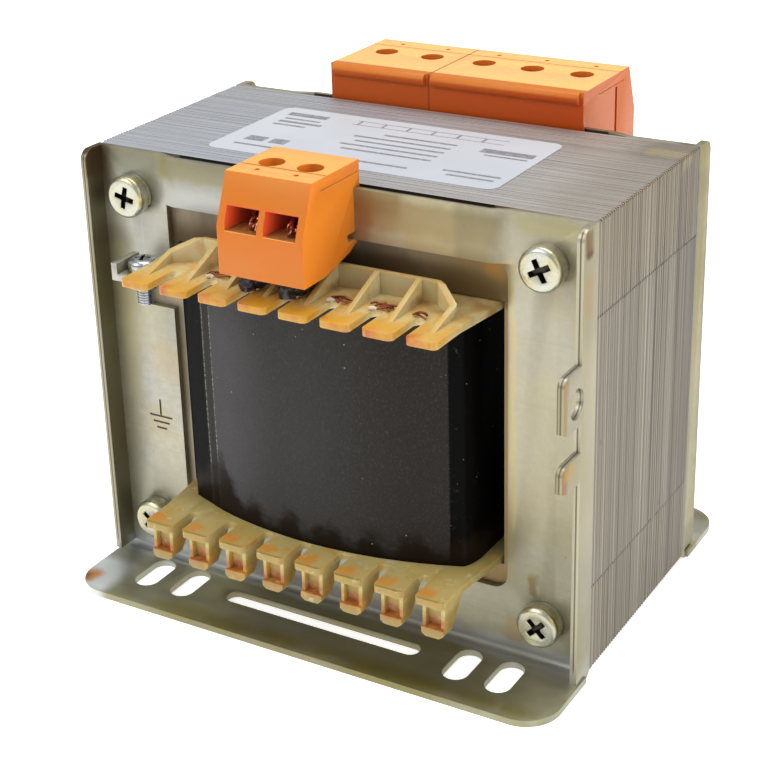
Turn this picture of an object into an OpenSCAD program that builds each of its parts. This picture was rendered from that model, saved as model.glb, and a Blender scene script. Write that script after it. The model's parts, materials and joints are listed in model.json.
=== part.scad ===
// Laminated chassis transformer, EI 120/53 core, clamped between two folded
// steel brackets, with clip-on terminal blocks. Millimetres. Origin at the
// bottom centre of the whole part, +Z up, +X along the core's width, the
// two-pole terminal block faces -Y.

/* [Core] */
// Width of the core, along X
core_w = 120; // [100:0.5:140]
// Height of the core
core_h = 100; // [80:0.5:120]
// Number of lamination layers, each two 0.5 mm sheets
layers = 53; // [30:1:70]
// Pitch of one layer along Y
layer_pitch = 1.0; // [0.7:0.05:1.4]
// Varnish gap between two layers
layer_gap = 0.02; // [0.01:0.01:0.1]
// Gap between an E leg and its I sheet
joint_gap = 0.05; // [0.02:0.01:0.2]
// Layers stacked the same way at the front face
front_pack = 8; // [0:1:20]
// Layers stacked the same way at the rear face
rear_pack = 6; // [0:1:20]
// Diameter of the clamp holes in the sheets
sheet_hole_d = 5.8; // [5:0.1:8]

/* [Brackets] */
// Thickness of the bracket sheet
sheet_t = 1.5; // [1:0.1:3]
// Window half width
win_x = 41.5; // [38:0.1:45]
// Window bottom edge above the core's bottom
win_z0 = 15; // [10:0.1:20]
// Window top edge above the core's bottom
win_z1 = 89; // [82:0.1:95]
// Window corner radius
win_r = 3.5; // [1:0.1:8]
// Forward offset of the top bar
joggle = 1.7; // [0.5:0.1:3]
// Depth of the side flanges, from the core face
flange_d = 6.8; // [3:0.1:15]
// Length of the foot, from the bracket's front face
foot_len = 22; // [12:0.5:35]
// Half width of the foot
foot_x = 60.5; // [55:0.5:70]
// Foot corner radius
foot_r = 8; // [1:0.5:12]
// Outside radius of the foot bend
bend_r = 2.7; // [1.6:0.1:5]
// Foot slot width
slot_w = 5.8; // [4:0.1:8]
// Foot slot length, end to end
slot_l = 12; // [8:0.5:16]
// Outer foot slots, distance from the centre line
slot_x2 = 45.5; // [40:0.5:55]
// Inner foot slots, distance from the centre line
slot_x1 = 35.5; // [28:0.5:39]
// Slot centres, distance from the core's mid plane
slot_y = 37.3; // [33:0.1:42]
// Long slot length, end to end
long_slot_l = 50; // [30:1:56]
// Long slot width
long_slot_w = 4.5; // [3:0.1:6]

/* [Fasteners] */
// Clamp screw positions from the centre line
bolt_x = 50; // [45:0.5:55]
// Clamp screw positions from the core's bottom and top
bolt_z = 10; // [8:0.5:12]
// Clamp screw shank diameter
bolt_d = 5; // [4:0.1:6]
// Clamp screw head diameter
head_d = 9.5; // [8:0.1:12]
// Clamp screw head height
head_h = 3.1; // [2:0.1:4]
// Lock washer thickness
washer_t = 0.9; // [0.5:0.1:1.5]
// Nut size across flats
nut_af = 8; // [7:0.1:10]
// Nut height
nut_h = 4; // [3:0.1:5]

/* [Bobbin and coil] */
// Half width of the combs
comb_x = 37.6; // [34:0.1:39]
// Reach of the upper comb from the mid plane
comb_top_y = 50.7; // [44:0.1:54]
// Reach of the lower comb from the mid plane
comb_bot_y = 49.3; // [44:0.1:54]
// Number of comb teeth
teeth = 8; // [4:1:12]
// Width of the slots between teeth
tooth_gap = 2.8; // [2.4:0.1:3.2]
// Where the slots' round ends are centred, from the mid plane
slot_end = 42.2; // [41.5:0.1:43]
// Corner radius of the teeth
tooth_r = 1.25; // [0.5:0.05:1.8]
// Bobbin wall thickness
wall = 1.5; // [1:0.1:2.5]
// Height of the rear wall above the upper comb
comb_wall_h = 4.8; // [3:0.1:5]
// Half width of the finished coil
coil_x = 36; // [30:0.1:38]
// Half depth of the finished coil
coil_y = 40.9; // [36:0.1:42]
// Coil corner radius
coil_r = 13; // [8:0.5:16]
// Radius of the coil's bulged front
coil_crown = 90; // [60:1:200]
// Thickness of the outer wrap
wrap_t = 0.6; // [0.3:0.1:1]
// Depth of the secondary winding
sec_t = 5.6; // [3:0.1:8]
// Depth of the insulation between the windings
ins_t = 0.6; // [0.3:0.1:1]

/* [Terminal blocks] */
// Pole pitch of the front block
f_pitch = 9.2; // [7:0.1:12]
// Centre of the front block along X
f_cx = -2.6; // [-20:0.1:20]
// Top of the front block above the core's bottom
f_top = 105.5; // [103:0.1:110]
// Pole pitch of the rear blocks
r_pitch = 12.5; // [10:0.1:14]
// Left end of the rear row of blocks
r_x0 = -32.6; // [-45:0.1:-20]
// Top of the rear blocks above the core's bottom
r_top = 108.4; // [104:0.1:112]
// Screw hole diameter in the blocks
drive_d = 5.5; // [4:0.1:7]

/* [Hidden] */
$fn = 64;
core_d = layers*layer_pitch;
yc = core_d/2;                 // core face
leg = core_w/6;                // outer leg and yoke
cleg = core_w/3;               // centre leg
win_h = core_h - 2*leg;
yp = yc + sheet_t;             // front face of a bracket's plate
yb = yp + joggle;              // front face of its top bar
z_off = sheet_t;               // the feet stand on z = 0
r_front = 56.5;                // how far the rear blocks reach
earth_x = -43.5;               // the earth screw
y_off = -(r_front - comb_top_y)/2;
comb_pitch = (2*comb_x + tooth_gap)/teeth;
tooth_w = comb_pitch - tooth_gap;
fl_z0 = leg + 0.3;             // bobbin bottom
fl_z1 = core_h - leg - 0.3;    // bobbin top
e = 0.01;

module place() translate([0, y_off, z_off]) children();
module half_turn() rotate([0, 0, 180]) children();

// a straight round bar between two points
module rod(a, b, r) {
  d = b - a;
  l = norm(d);
  translate(a)
    rotate([0, acos(d[2]/l), atan2(d[1], d[0])])
      cylinder(h = l, r = r, $fn = 24);
}
// outline in Y and Z, drawn along X
module side_extrude(x0, x1) translate([x0, 0, 0]) rotate([90, 0, 90]) linear_extrude(x1 - x0) children();
// outline in X and Z, drawn along Y
module front_extrude(y0, y1) translate([0, y1, 0]) rotate([90, 0, 0]) linear_extrude(y1 - y0) children();

// ---------- core ----------
function e_down(k) = (k < front_pack || k >= layers - rear_pack) ? true : (k % 2 == 0);

module e_outline() difference() {
  translate([-core_w/2, 0]) square([core_w, core_h - leg - joint_gap]);
  translate([-core_w/2 + leg, leg]) square([leg, win_h + 1]);
  translate([core_w/2 - 2*leg, leg]) square([leg, win_h + 1]);
  for (s = [-1, 1]) translate([s*bolt_x, bolt_z]) circle(d = sheet_hole_d);
}
module i_outline() difference() {
  translate([-core_w/2, core_h - leg]) square([core_w, leg]);
  for (s = [-1, 1]) translate([s*bolt_x, core_h - bolt_z]) circle(d = sheet_hole_d);
}
module flip(k) {
  if (e_down(k)) children();
  else translate([0, core_h]) mirror([0, 1]) children();
}
module e_laminations() color([0.55, 0.54, 0.52]) place()
  for (k = [0 : layers - 1])
    front_extrude(-yc + k*layer_pitch, -yc + (k + 1)*layer_pitch - (k == layers - 1 ? 0 : layer_gap))
      flip(k) e_outline();
module i_laminations() color([0.6, 0.59, 0.57]) place()
  for (k = [0 : layers - 1])
    front_extrude(-yc + k*layer_pitch, -yc + (k + 1)*layer_pitch - (k == layers - 1 ? 0 : layer_gap))
      flip(k) i_outline();

// ---------- brackets ----------
module window_2d() {
  w = win_x; r = win_r;
  difference() {
    translate([-w, win_z0]) square([2*w, win_z1 - win_z0]);
    // rounded corners, the upper left one stays sharp
    for (c = [[-w, win_z0, 0], [w, win_z0, 90], [w, win_z1, 180]])
      translate([c[0], c[1]]) rotate(c[2]) difference() {
        translate([-e, -e]) square([r + e, r + e]);
        translate([r, r]) circle(r = r);
      }
  }
}
module slot_2d(l, w) {
  square([l - w, w], center = true);
  for (s = [-1, 1]) translate([s*(l - w)/2, 0]) circle(d = w);
}
module foot_2d() difference() {
  union() {
    translate([-foot_x, -yp - foot_len]) square([2*foot_x, foot_len - (bend_r - sheet_t)]);
  }
  for (s = [-1, 1])
    translate([s*foot_x, -yp - foot_len]) mirror([s > 0 ? 1 : 0, 0]) difference() {
      translate([-e, -e]) square([foot_r + e, foot_r + e]);
      translate([foot_r, foot_r]) circle(r = foot_r);
    }
  for (x = [-slot_x2, -slot_x1, slot_x1, slot_x2])
    translate([x, -slot_y]) rotate(90) slot_2d(slot_l, slot_w);
  translate([0, -slot_y]) slot_2d(long_slot_l, long_slot_w);
}
// flange outline in Y and Z with a rounded top corner
module flange_2d(z0) difference() {
  translate([-yc - flange_d, z0]) square([flange_d - sheet_t, core_h - z0]);
  translate([-yc - flange_d, core_h]) difference() {
    translate([-e, -2.5]) square([2.5 + e, 2.5 + e]);
    translate([2.5, -2.5]) circle(r = 2.5);
  }
}
// the two hook tabs on the right-hand flange
module hooks_2d() {
  y1 = -yc - flange_d + 0.5;
  difference() {
    union() {
      translate([-41.4, 60.2]) square([41.4 + y1, 12.6 - 2]);
      translate([-39.4, 60.2]) square([39.4 + y1, 12.6]);
      translate([-39.4, 70.8]) circle(r = 2);
      translate([-41.8, 47.6]) square([41.8 + y1, 6.4 - 2]);
      translate([-39.8, 47.6]) square([39.8 + y1, 6.4]);
      translate([-39.8, 52]) circle(r = 2);
    }
    // sloped undersides
    polygon([[-42, 59], [-42, 61.6], [-39.2, 60.2], [-39.2, 59]]);
    polygon([[-42.5, 46], [-42.5, 49], [-39, 47.6], [-39, 46]]);
  }
}
module earth_mark_2d() {
  translate([-47.85, 36.2]) square([0.5, 4.2]);
  translate([-50.8, 35.9]) square([6.4, 0.5]);
  translate([-49.9, 34.4]) square([4.6, 0.5]);
  translate([-49.0, 32.9]) square([2.8, 0.5]);
}
module bracket() {
  // plate
  difference() {
    front_extrude(-yp, -yc) difference() {
      translate([-core_w/2, bend_r - sheet_t]) square([core_w, core_h - bend_r + sheet_t]);
      window_2d();
      // room for the joggled bar
      translate([-43.5, win_z1]) square([87, 20]);
      // notch the earth tab was folded out of
      translate([-48.4, 64]) square([48.4 - win_x + e, 10]);
      for (x = [-bolt_x, bolt_x], z = [bolt_z, core_h - bolt_z]) translate([x, z]) circle(d = 5.5);
    }
    front_extrude(-yp - 1, -yp + 0.25) earth_mark_2d();
  }
  // top bar, set forward
  translate([0, 0, win_z1]) linear_extrude(core_h - win_z1)
    polygon([[-43.5, -yc], [-43.5, -yp], [-38.7, -yb], [38.2, -yb], [43.5, -yp], [43.5, -yc],
             [38.5, -yc - joggle], [-39, -yc - joggle]]);
  // side flanges
  side_extrude(-core_w/2, -core_w/2 + sheet_t) flange_2d(1.1);
  side_extrude(core_w/2 - sheet_t, core_w/2) { flange_2d(0); hooks_2d(); }
  // foot and its bend
  translate([0, 0, -sheet_t]) linear_extrude(sheet_t) foot_2d();
  side_extrude(-core_w/2, core_w/2) translate([-yc - bend_r, bend_r - sheet_t]) intersection() {
    difference() { circle(r = bend_r); circle(r = bend_r - sheet_t); }
    translate([0, -bend_r]) square([bend_r, bend_r]);
  }
  // earth tab with its turned-up edge
  translate([-48.4, -40, 74]) cube([7, 40 - yp + e, sheet_t]);
  translate([-48.4, -yp, 74]) cube([7, sheet_t, sheet_t]);
  translate([-48.4, -40, 74]) cube([sheet_t, 8, 4]);
}
module bracket_holed() difference() {
  bracket();
  translate([earth_x, -35.2, 70]) cylinder(d = 3.9, h = 8);
  // the tab's hole, also where it runs into the flange
  side_extrude(core_w/2 - 3, core_w/2 + 1) translate([-35.4, 65.5]) circle(d = 6.4);
}
module front_bracket() color([0.72, 0.7, 0.6]) place() bracket_holed();
module rear_bracket() color([0.7, 0.68, 0.58]) place() half_turn() bracket_holed();

// ---------- clamp fasteners ----------
module at_bolts() for (x = [-bolt_x, bolt_x], z = [bolt_z, core_h - bolt_z]) translate([x, 0, z]) children();
module cross(d, w, h) for (a = [0, 90]) rotate(a) translate([-d/2, -w/2, 0]) cube([d, w, h]);
bolt_len = 2*yp + washer_t*2 + nut_h + 1.5;
module clamp_screw(a) rotate([-90, 0, 0]) difference() {
  union() {
    translate([0, 0, -yp - washer_t]) cylinder(d = bolt_d, h = bolt_len);
    translate([0, 0, -yp - washer_t - head_h]) {
      translate([0, 0, 0.7]) cylinder(d = head_d, h = head_h - 0.7);
      cylinder(d1 = head_d - 1.4, d2 = head_d, h = 0.7);
    }
  }
  translate([0, 0, -yp - washer_t - head_h - e]) rotate(a) cross(5, 1.15, 1.9);
}
module clamp_screws() color([0.75, 0.74, 0.62]) place() {
  translate([bolt_x, 0, core_h - bolt_z]) clamp_screw(62);
  translate([-bolt_x, 0, core_h - bolt_z]) clamp_screw(12);
  translate([bolt_x, 0, bolt_z]) clamp_screw(45);
  translate([-bolt_x, 0, bolt_z]) clamp_screw(40);
}
// split spring washer
module lock_washers() color([0.66, 0.65, 0.55]) place() at_bolts()
  rotate([-90, 0, 0]) translate([0, 0, -yp - washer_t]) difference() {
    cylinder(d = 9.2, h = washer_t);
    translate([0, 0, -1]) cylinder(d = 5.2, h = 4);
    rotate(30) translate([0, -0.3, -1]) cube([8, 0.6, 4]);
  }
module nut_washers() color([0.66, 0.65, 0.55]) place() at_bolts()
  rotate([-90, 0, 0]) translate([0, 0, yp]) difference() {
    cylinder(d = 9.8, h = washer_t);
    translate([0, 0, -1]) cylinder(d = 5.2, h = 4);
  }
module clamp_nuts() color([0.7, 0.69, 0.58]) place() at_bolts()
  rotate([-90, 0, 0]) translate([0, 0, yp + washer_t]) difference() {
    intersection() {
      cylinder(d = nut_af/cos(30), h = nut_h, $fn = 6);
      cylinder(d1 = nut_af*1.08, d2 = nut_af*1.42, h = nut_h*0.9 + 1);
      translate([0, 0, -1]) cylinder(d2 = nut_af*1.08, d1 = nut_af*1.46, h = nut_h + 1);
    }
    translate([0, 0, -1]) cylinder(d = bolt_d + 0.1, h = nut_h + 2);
  }

// ---------- bobbin ----------
function tooth_cx(i) = -comb_x + tooth_w/2 + i*comb_pitch;
module slots_2d() for (i = [1 : teeth - 1]) {
  x = -comb_x - tooth_gap/2 + i*comb_pitch;
  translate([x - tooth_gap/2, slot_end]) square([tooth_gap, 20]);
  translate([x, slot_end]) circle(d = tooth_gap);
}
// round-cornered tooth tips, towards -Y
module tips_2d(reach) for (i = [0 : teeth - 1]) translate([tooth_cx(i), 0]) {
  translate([tooth_r - tooth_w/2, -reach]) square([tooth_w - 2*tooth_r, tooth_r + 1]);
  for (s = [-1, 1]) translate([s*(tooth_w/2 - tooth_r), tooth_r - reach]) circle(r = tooth_r);
}
module flange_plan(reach) difference() {
  union() {
    polygon([[-39.3, -yc], [-comb_x, -41], [-comb_x, tooth_r - reach], [comb_x, tooth_r - reach],
             [comb_x, -41], [39.3, -yc], [39.3, yc], [comb_x, 41], [comb_x, reach - tooth_r],
             [-comb_x, reach - tooth_r], [-comb_x, 41], [-39.3, yc]]);
    for (a = [0, 180]) rotate(a) tips_2d(reach);
  }
  slots_2d();
  rotate(180) slots_2d();
  translate([-cleg/2 - 0.25, -yc - 0.2]) square([cleg + 0.5, 2*yc + 0.4]);
}
module comb_ribs() {
  // wall along the back of the comb, its ends turned forward and down
  fx = tooth_cx(teeth - 1);
  intersection() {
    linear_extrude(comb_wall_h) polygon([[-28.6, -31.9], [28.6, -31.9], [fx + 0.7, -36.9], [fx + 0.7, -46.2],
      [fx - 0.5, -46.2], [fx - 0.5, -37.5], [28.2, -33], [-28.2, -33], [0.5 - fx, -37.5], [0.5 - fx, -46.2],
      [-fx - 0.7, -46.2], [-fx - 0.7, -36.9]]);
    side_extrude(-40, 40) polygon([[-31, -1], [-31, comb_wall_h + 1], [-33.4, comb_wall_h + 1],
      [-33.4, comb_wall_h], [-37.3, 2.4], [-46, 0.02], [-46, -1]]);
  }
  // a tapered rib on each inner tooth
  for (i = [1 : teeth - 2])
    side_extrude(tooth_cx(i) - 0.55, tooth_cx(i) + 0.55)
      polygon([[-32.5, 0], [-32.5, comb_wall_h], [-33.4, comb_wall_h], [-45.2, 0.02], [-45.2, 0]]);
}
// wire pocket hanging under each lower tooth
module pocket(x) translate([x, 0, 0]) difference() {
  union() {
    intersection() {
      front_extrude(-comb_bot_y + 0.8, -40) polygon([[-1.75, 0], [tooth_w/2 - 0.05, 0], [3.3, -6.2], [2.3, -7], [-0.9, -7], [-1.75, -6.3]]);
      side_extrude(-4, 4) polygon([[-50, 0], [-50, -7], [-45.8, -7], [-40.6, 0]]);
    }
    // lower lip
    front_extrude(-comb_bot_y + 0.1, -46.5) polygon([[-1.75, -5], [3.35, -5], [3.3, -6.2], [2.3, -7], [-0.9, -7], [-1.75, -6.3]]);
  }
  translate([-1.05, -50, -5]) cube([3.6, 2.9, 4.6]);
}
module bobbin() color([0.86, 0.8, 0.58]) place() {
  // upper flange
  translate([0, 0, fl_z1 - wall]) linear_extrude(wall) flange_plan(comb_top_y);
  // lower flange
  translate([0, 0, fl_z0]) linear_extrude(wall) flange_plan(comb_bot_y);
  // winding tube
  translate([0, 0, fl_z0]) linear_extrude(fl_z1 - fl_z0) difference() {
    translate([-cleg/2 - 1.5, -yc - 1.4]) square([cleg + 3, 2*yc + 2.8]);
    translate([-cleg/2 - 0.25, -yc - 0.2]) square([cleg + 0.5, 2*yc + 0.4]);
  }
  for (a = [0, 180]) rotate(a) {
    translate([0, 0, fl_z1]) comb_ribs();
    translate([0, 0, fl_z0]) {
      for (i = [0 : teeth - 1]) pocket(tooth_cx(i));
    }
  }
}

// ---------- coil ----------
module coil_2d(d) {
  x = coil_x - d; y = coil_y - d; r = coil_r - d; R = coil_crown - d;
  intersection() {
    union() {
      translate([-x + r, -y]) square([2*(x - r), 2*y]);
      translate([-x, -y + r]) square([2*x, 2*(y - r)]);
      for (sx = [-1, 1], sy = [-1, 1]) translate([sx*(x - r), sy*(y - r)]) circle(r = r, $fn = 96);
    }
    translate([0, coil_crown - coil_y]) circle(r = R, $fn = 256);
    translate([0, -coil_crown + coil_y]) circle(r = R, $fn = 256);
  }
}
cz0 = fl_z0 + wall;
cz1 = fl_z1 - wall;
module ring(d0, d1) translate([0, 0, cz0]) linear_extrude(cz1 - cz0) difference() { coil_2d(d0); coil_2d(d1); }
module outer_wrap() color([0.12, 0.12, 0.12]) place() ring(0, wrap_t);
module secondary_winding() color([0.62, 0.32, 0.16]) place() ring(wrap_t, wrap_t + sec_t);
module winding_insulation() color([0.75, 0.62, 0.35]) place() ring(wrap_t + sec_t, wrap_t + sec_t + ins_t);
module primary_winding() color([0.66, 0.35, 0.18]) place()
  translate([0, 0, cz0]) linear_extrude(cz1 - cz0) difference() {
    coil_2d(wrap_t + sec_t + ins_t);
    translate([-cleg/2 - 1.5, -yc - 1.4]) square([cleg + 3, 2*yc + 2.8]);
  }

// ---------- terminal blocks ----------
// one block, its wire side towards -Y, from x = 0 to its width
module block_profile(top, out, up) polygon([
  [-27.3, top], [-out + up, top], [-out, top - 10.5], [-out, 84.8], [-out + 8, 84.8], [-32, 86.9],
  [-28.9, 88.3], [-28.9, win_z1 - 0.05], [-yb, win_z1 - 0.05], [-yb, core_h + 0.05],
  [-yb + sheet_t + 0.1, core_h + 0.05], [-yb + sheet_t + 0.1, 97.6], [-27.3, 97.6]]);
module block(n, pitch, endw, top, out, up, cy, ow, oz0, oz1, cage) {
  w = n*pitch + endw;
  difference() {
    side_extrude(0, w) block_profile(top, out, up);
    // relief behind the lower clip
    translate([-1, -32.6, 88.95]) cube([w + 2, 2.9, 1.8]);
    for (i = [0 : n - 1]) translate([endw/2 + pitch*(i + 0.5), 0, 0]) {
      // wire entry
      translate([-ow/2, -out - 1, oz0]) cube([ow, out + 1 + cy + 2, oz1 - oz0]);
      // clamp chamber
      translate([-ow/2, cy - cage/2 - 0.5, oz0 - 2.8]) cube([ow, cage + 1, oz1 - oz0 + 4.6]);
      // screw hole
      translate([0, cy, oz1]) cylinder(d = drive_d, h = 20);
      // small test point
      translate([0, -out + up + 3.1, top - 1.2]) cylinder(d = 1.1, h = 3, $fn = 24);
      // wire hole below
      translate([0, cy, 80]) cylinder(d = 2.2, h = oz0 - 80, $fn = 24);
    }
    // cover line across the top
    translate([-1, -out + up + 5.2, top - 0.25]) cube([w + 2, 0.35, 1]);
    // cover line down both ends
    for (x = [-1, w - 0.25]) translate([x, -out + up + 3, top - 2.6]) cube([1.25, 40 - 26, 0.3]);
  }
}
module cages(n, pitch, endw, cy, ow, oz0, oz1, cage)
  for (i = [0 : n - 1]) translate([endw/2 + pitch*(i + 0.5), cy, oz0 - 2.5]) difference() {
    translate([-ow/2 + 0.3, -cage/2, 0]) cube([ow - 0.6, cage, oz1 - oz0 + 4]);
    translate([-ow/2 + 1.4, -cage/2 - 1, 1.6]) cube([ow - 2.8, cage + 2, oz1 - oz0 + 0.2]);
    cylinder(d = 3.7, h = 30);
    translate([0, 0, -1]) cylinder(d = 2.2, h = 3, $fn = 24);
  }
module drive_screws(n, pitch, endw, cy, oz0, oz1, a)
  for (i = [0 : n - 1]) translate([endw/2 + pitch*(i + 0.5), cy, oz1 + 1.55]) difference() {
    union() {
      translate([0, 0, -4.6]) cylinder(d = 3.5, h = 4.7, $fn = 32);
      cylinder(d = drive_d - 0.4, h = 1.9, $fn = 48);
    }
    rotate(a + i*25) translate([-5, -0.45, 0.8]) cube([10, 0.9, 5]);
  }
f_w = 2*f_pitch + 2;
module front_terminal_body() color([0.95, 0.52, 0.2]) place() translate([f_cx - f_w/2, 0, 0])
  block(2, f_pitch, 2, f_top, 49.2, 4.2, -36.6, 7.8, 94.2, 99.1, 6);
module front_terminal_clamps() color([0.7, 0.66, 0.6]) place() translate([f_cx - f_w/2, 0, 0])
  cages(2, f_pitch, 2, -36.6, 7.8, 94.2, 99.1, 6);
module front_terminal_screws() color([0.72, 0.7, 0.66]) place() translate([f_cx - f_w/2, 0, 0])
  drive_screws(2, f_pitch, 2, -36.6, 94.2, 99.1, 30);
// rear blocks, turned to face +Y, with a rounded lip along the inner top edge
module rear_block(n) {
  w = n*r_pitch + 1.3;
  difference() {
    union() {
      block(n, r_pitch, 1.3, r_top, r_front, 3.6, -41.8, 10.4, 94.2, 100.4, 8);
      side_extrude(0, w) translate([-27.5, r_top - 1.5]) circle(r = 1.5);
    }
    // lip stops short of the ends
    for (x = [-1, w - 0.9]) translate([x, -27.29, r_top - 3.3]) cube([1.9, 3, 3.31]);
    // upright grooves in the ends
    for (x = [-1, w - 0.4]) translate([x, -46, 90]) cube([1.4, 1.2, r_top - 90 - 3]);
  }
}
module at_rear(x0, n) translate([x0 + n*r_pitch + 1.3, 0, 0]) half_turn() children();
r_w2 = 2*r_pitch + 1.3;
module rear_terminal_body_2p() color([0.93, 0.48, 0.2]) place() at_rear(r_x0, 2) rear_block(2);
module rear_terminal_body_3p() color([0.95, 0.5, 0.22]) place() at_rear(r_x0 + r_w2, 3) rear_block(3);
module rear_terminal_clamps() color([0.7, 0.66, 0.6]) place() {
  at_rear(r_x0, 2) cages(2, r_pitch, 1.3, -41.8, 10.4, 94.2, 100.4, 8);
  at_rear(r_x0 + r_w2, 3) cages(3, r_pitch, 1.3, -41.8, 10.4, 94.2, 100.4, 8);
}
module rear_terminal_screws() color([0.72, 0.7, 0.66]) place() {
  at_rear(r_x0, 2) drive_screws(2, r_pitch, 1.3, -41.8, 94.2, 100.4, 10);
  at_rear(r_x0 + r_w2, 3) drive_screws(3, r_pitch, 1.3, -41.8, 94.2, 100.4, 70);
}

// ---------- leads ----------
// the coil's front surface at x
function crown_y(x) = coil_y - coil_crown + sqrt(coil_crown*coil_crown - x*x);
// a lead from the coil's side, up through a comb slot and into a block
module lead(xs, xt, yt, r, zt) {
  rod([xs, -crown_y(xs) - 0.05 - r*0.6, 75.5], [xs, -42, 75.5], r);
  rod([xs, -42, 75.5], [xs, -42, 81.6], r);
  rod([xs, -42, 81.6], [xt, yt, 84], r);
  rod([xt, yt, 84], [xt, yt, zt], r);
  for (p = [[xs, -42, 75.5], [xs, -42, 81.6], [xt, yt, 84]]) translate(p) sphere(r = r*1.16, $fn = 24);
}
f_pole = [f_cx - f_pitch/2, f_cx + f_pitch/2];
f_slot = [-comb_pitch, 0];
module primary_leads() color([0.72, 0.4, 0.2]) place()
  for (i = [0, 1]) lead(f_slot[i], f_pole[i], -36.6, 0.6, 93.2);
module sleeve(xs, xt, r, z0, k) {
  p1 = [xs, -42, 81.6];
  p2 = [xt, -36.6, 84];
  rod([xs, -42, z0], p1, r);
  translate(p1) sphere(r = r*1.08, $fn = 24);
  rod(p1, p1 + (p2 - p1)*k, r);
}
module primary_sleeves() color([0.08, 0.08, 0.08]) place()
  for (i = [0, 1]) difference() {
    sleeve(f_slot[i], f_pole[i], 1.35, fl_z1 + 0.05, 0.86);
    sleeve(f_slot[i], f_pole[i], 0.65, fl_z1 - 1, 1.1);
  }
r_pole = [r_x0 + 0.65 + r_pitch*0.5, r_x0 + 0.65 + r_pitch*1.5,
          r_x0 + r_w2 + 0.65 + r_pitch*0.5, r_x0 + r_w2 + 0.65 + r_pitch*1.5, r_x0 + r_w2 + 0.65 + r_pitch*2.5];
r_slot = [-3*comb_pitch, -comb_pitch, 0, comb_pitch, 3*comb_pitch];
module secondary_leads() color([0.72, 0.4, 0.2]) place() half_turn()
  for (i = [0 : 4]) lead(-r_slot[i], -r_pole[i], -41.8, 0.8, 93.2);

// ---------- earth terminal ----------
// an M3.5 screw, clear of the tab's turned-up edge
module earth_screw() color([0.82, 0.83, 0.84]) place() translate([earth_x, -35.2, 0]) difference() {
  rotate_extrude() {
    translate([0, 67.7]) square([1.45, 9]);
    translate([0, 76.3]) square([3.3, 0.9]);
    translate([0, 77.2]) polygon([[0, 0], [3.3, 0], [3.15, 0.5], [2.7, 0.95], [1.8, 1.25], [0, 1.35]]);
    // thread ridges
    for (z = [67.8 : 0.6 : 73.1]) translate([1.45, z]) polygon([[-0.1, 0], [0.3, 0.25], [0.3, 0.35], [-0.1, 0.6]]);
    translate([0, 73.9]) square([1.75, 3]);
  }
  translate([0, 0, 77]) rotate(25) cross(3.6, 0.8, 3);
}
module earth_washer() color([0.78, 0.79, 0.8]) place() translate([earth_x, -35.2, 75.5]) difference() {
  cylinder(d = 6.2, h = 0.8);
  translate([0, 0, -1]) cylinder(d = 3.8, h = 3);
}
module earth_nut() color([0.75, 0.76, 0.77]) place() translate([earth_x, -35.2, 71.7]) difference() {
  cylinder(d = 5.5/cos(30), h = 2.3, $fn = 6);
  translate([0, 0, -1]) cylinder(d = 3.7, h = 6);
}

// ---------- label ----------
module rating_label() color([0.93, 0.94, 0.95]) place() translate([-36.9, -19, core_h]) linear_extrude(0.15) {
  w = 70.8; h = 34.2; r = 2.5;
  translate([r, 0]) square([w - 2*r, h]);
  translate([0, r]) square([w, h - 2*r]);
  for (x = [r, w - r], y = [r, h - r]) translate([x, y]) circle(r = r);
}

e_laminations();
i_laminations();
front_bracket();
rear_bracket();
clamp_screws();
lock_washers();
nut_washers();
clamp_nuts();
bobbin();
primary_winding();
winding_insulation();
secondary_winding();
outer_wrap();
front_terminal_body();
front_terminal_clamps();
front_terminal_screws();
rear_terminal_body_2p();
rear_terminal_body_3p();
rear_terminal_clamps();
rear_terminal_screws();
primary_leads();
primary_sleeves();
secondary_leads();
earth_screw();
earth_washer();
earth_nut();
rating_label();
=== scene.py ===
import bpy, bmesh, json, math, random
from mathutils import Matrix, Vector, noise
from mathutils.geometry import tessellate_polygon

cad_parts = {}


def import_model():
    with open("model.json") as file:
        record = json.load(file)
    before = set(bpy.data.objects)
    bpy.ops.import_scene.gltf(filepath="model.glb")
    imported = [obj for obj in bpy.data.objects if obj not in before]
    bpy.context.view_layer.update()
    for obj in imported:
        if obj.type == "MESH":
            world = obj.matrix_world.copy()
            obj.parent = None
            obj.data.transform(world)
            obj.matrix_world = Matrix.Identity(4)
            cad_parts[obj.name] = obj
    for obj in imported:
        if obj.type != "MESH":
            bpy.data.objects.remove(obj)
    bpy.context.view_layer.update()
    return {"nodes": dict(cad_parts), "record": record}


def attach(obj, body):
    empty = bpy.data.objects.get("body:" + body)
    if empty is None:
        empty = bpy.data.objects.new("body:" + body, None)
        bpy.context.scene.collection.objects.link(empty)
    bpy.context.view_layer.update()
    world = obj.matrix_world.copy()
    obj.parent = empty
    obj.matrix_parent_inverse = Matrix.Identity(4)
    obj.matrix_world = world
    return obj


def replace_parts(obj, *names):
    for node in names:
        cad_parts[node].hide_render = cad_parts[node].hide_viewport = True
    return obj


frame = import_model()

MM = 0.001
YC, ZC = -2.9, 1.5           # the core's own zero in the row's frame, mm
NODES = frame["nodes"]


def c(r, g, b, a=1.0):
    """A colour given as 8-bit sRGB, as the linear value a socket takes."""
    f = lambda v: v / 255 / 12.92 if v / 255 <= 0.04045 else ((v / 255 + 0.055) / 1.055) ** 2.4
    return (f(r), f(g), f(b), a)


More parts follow.
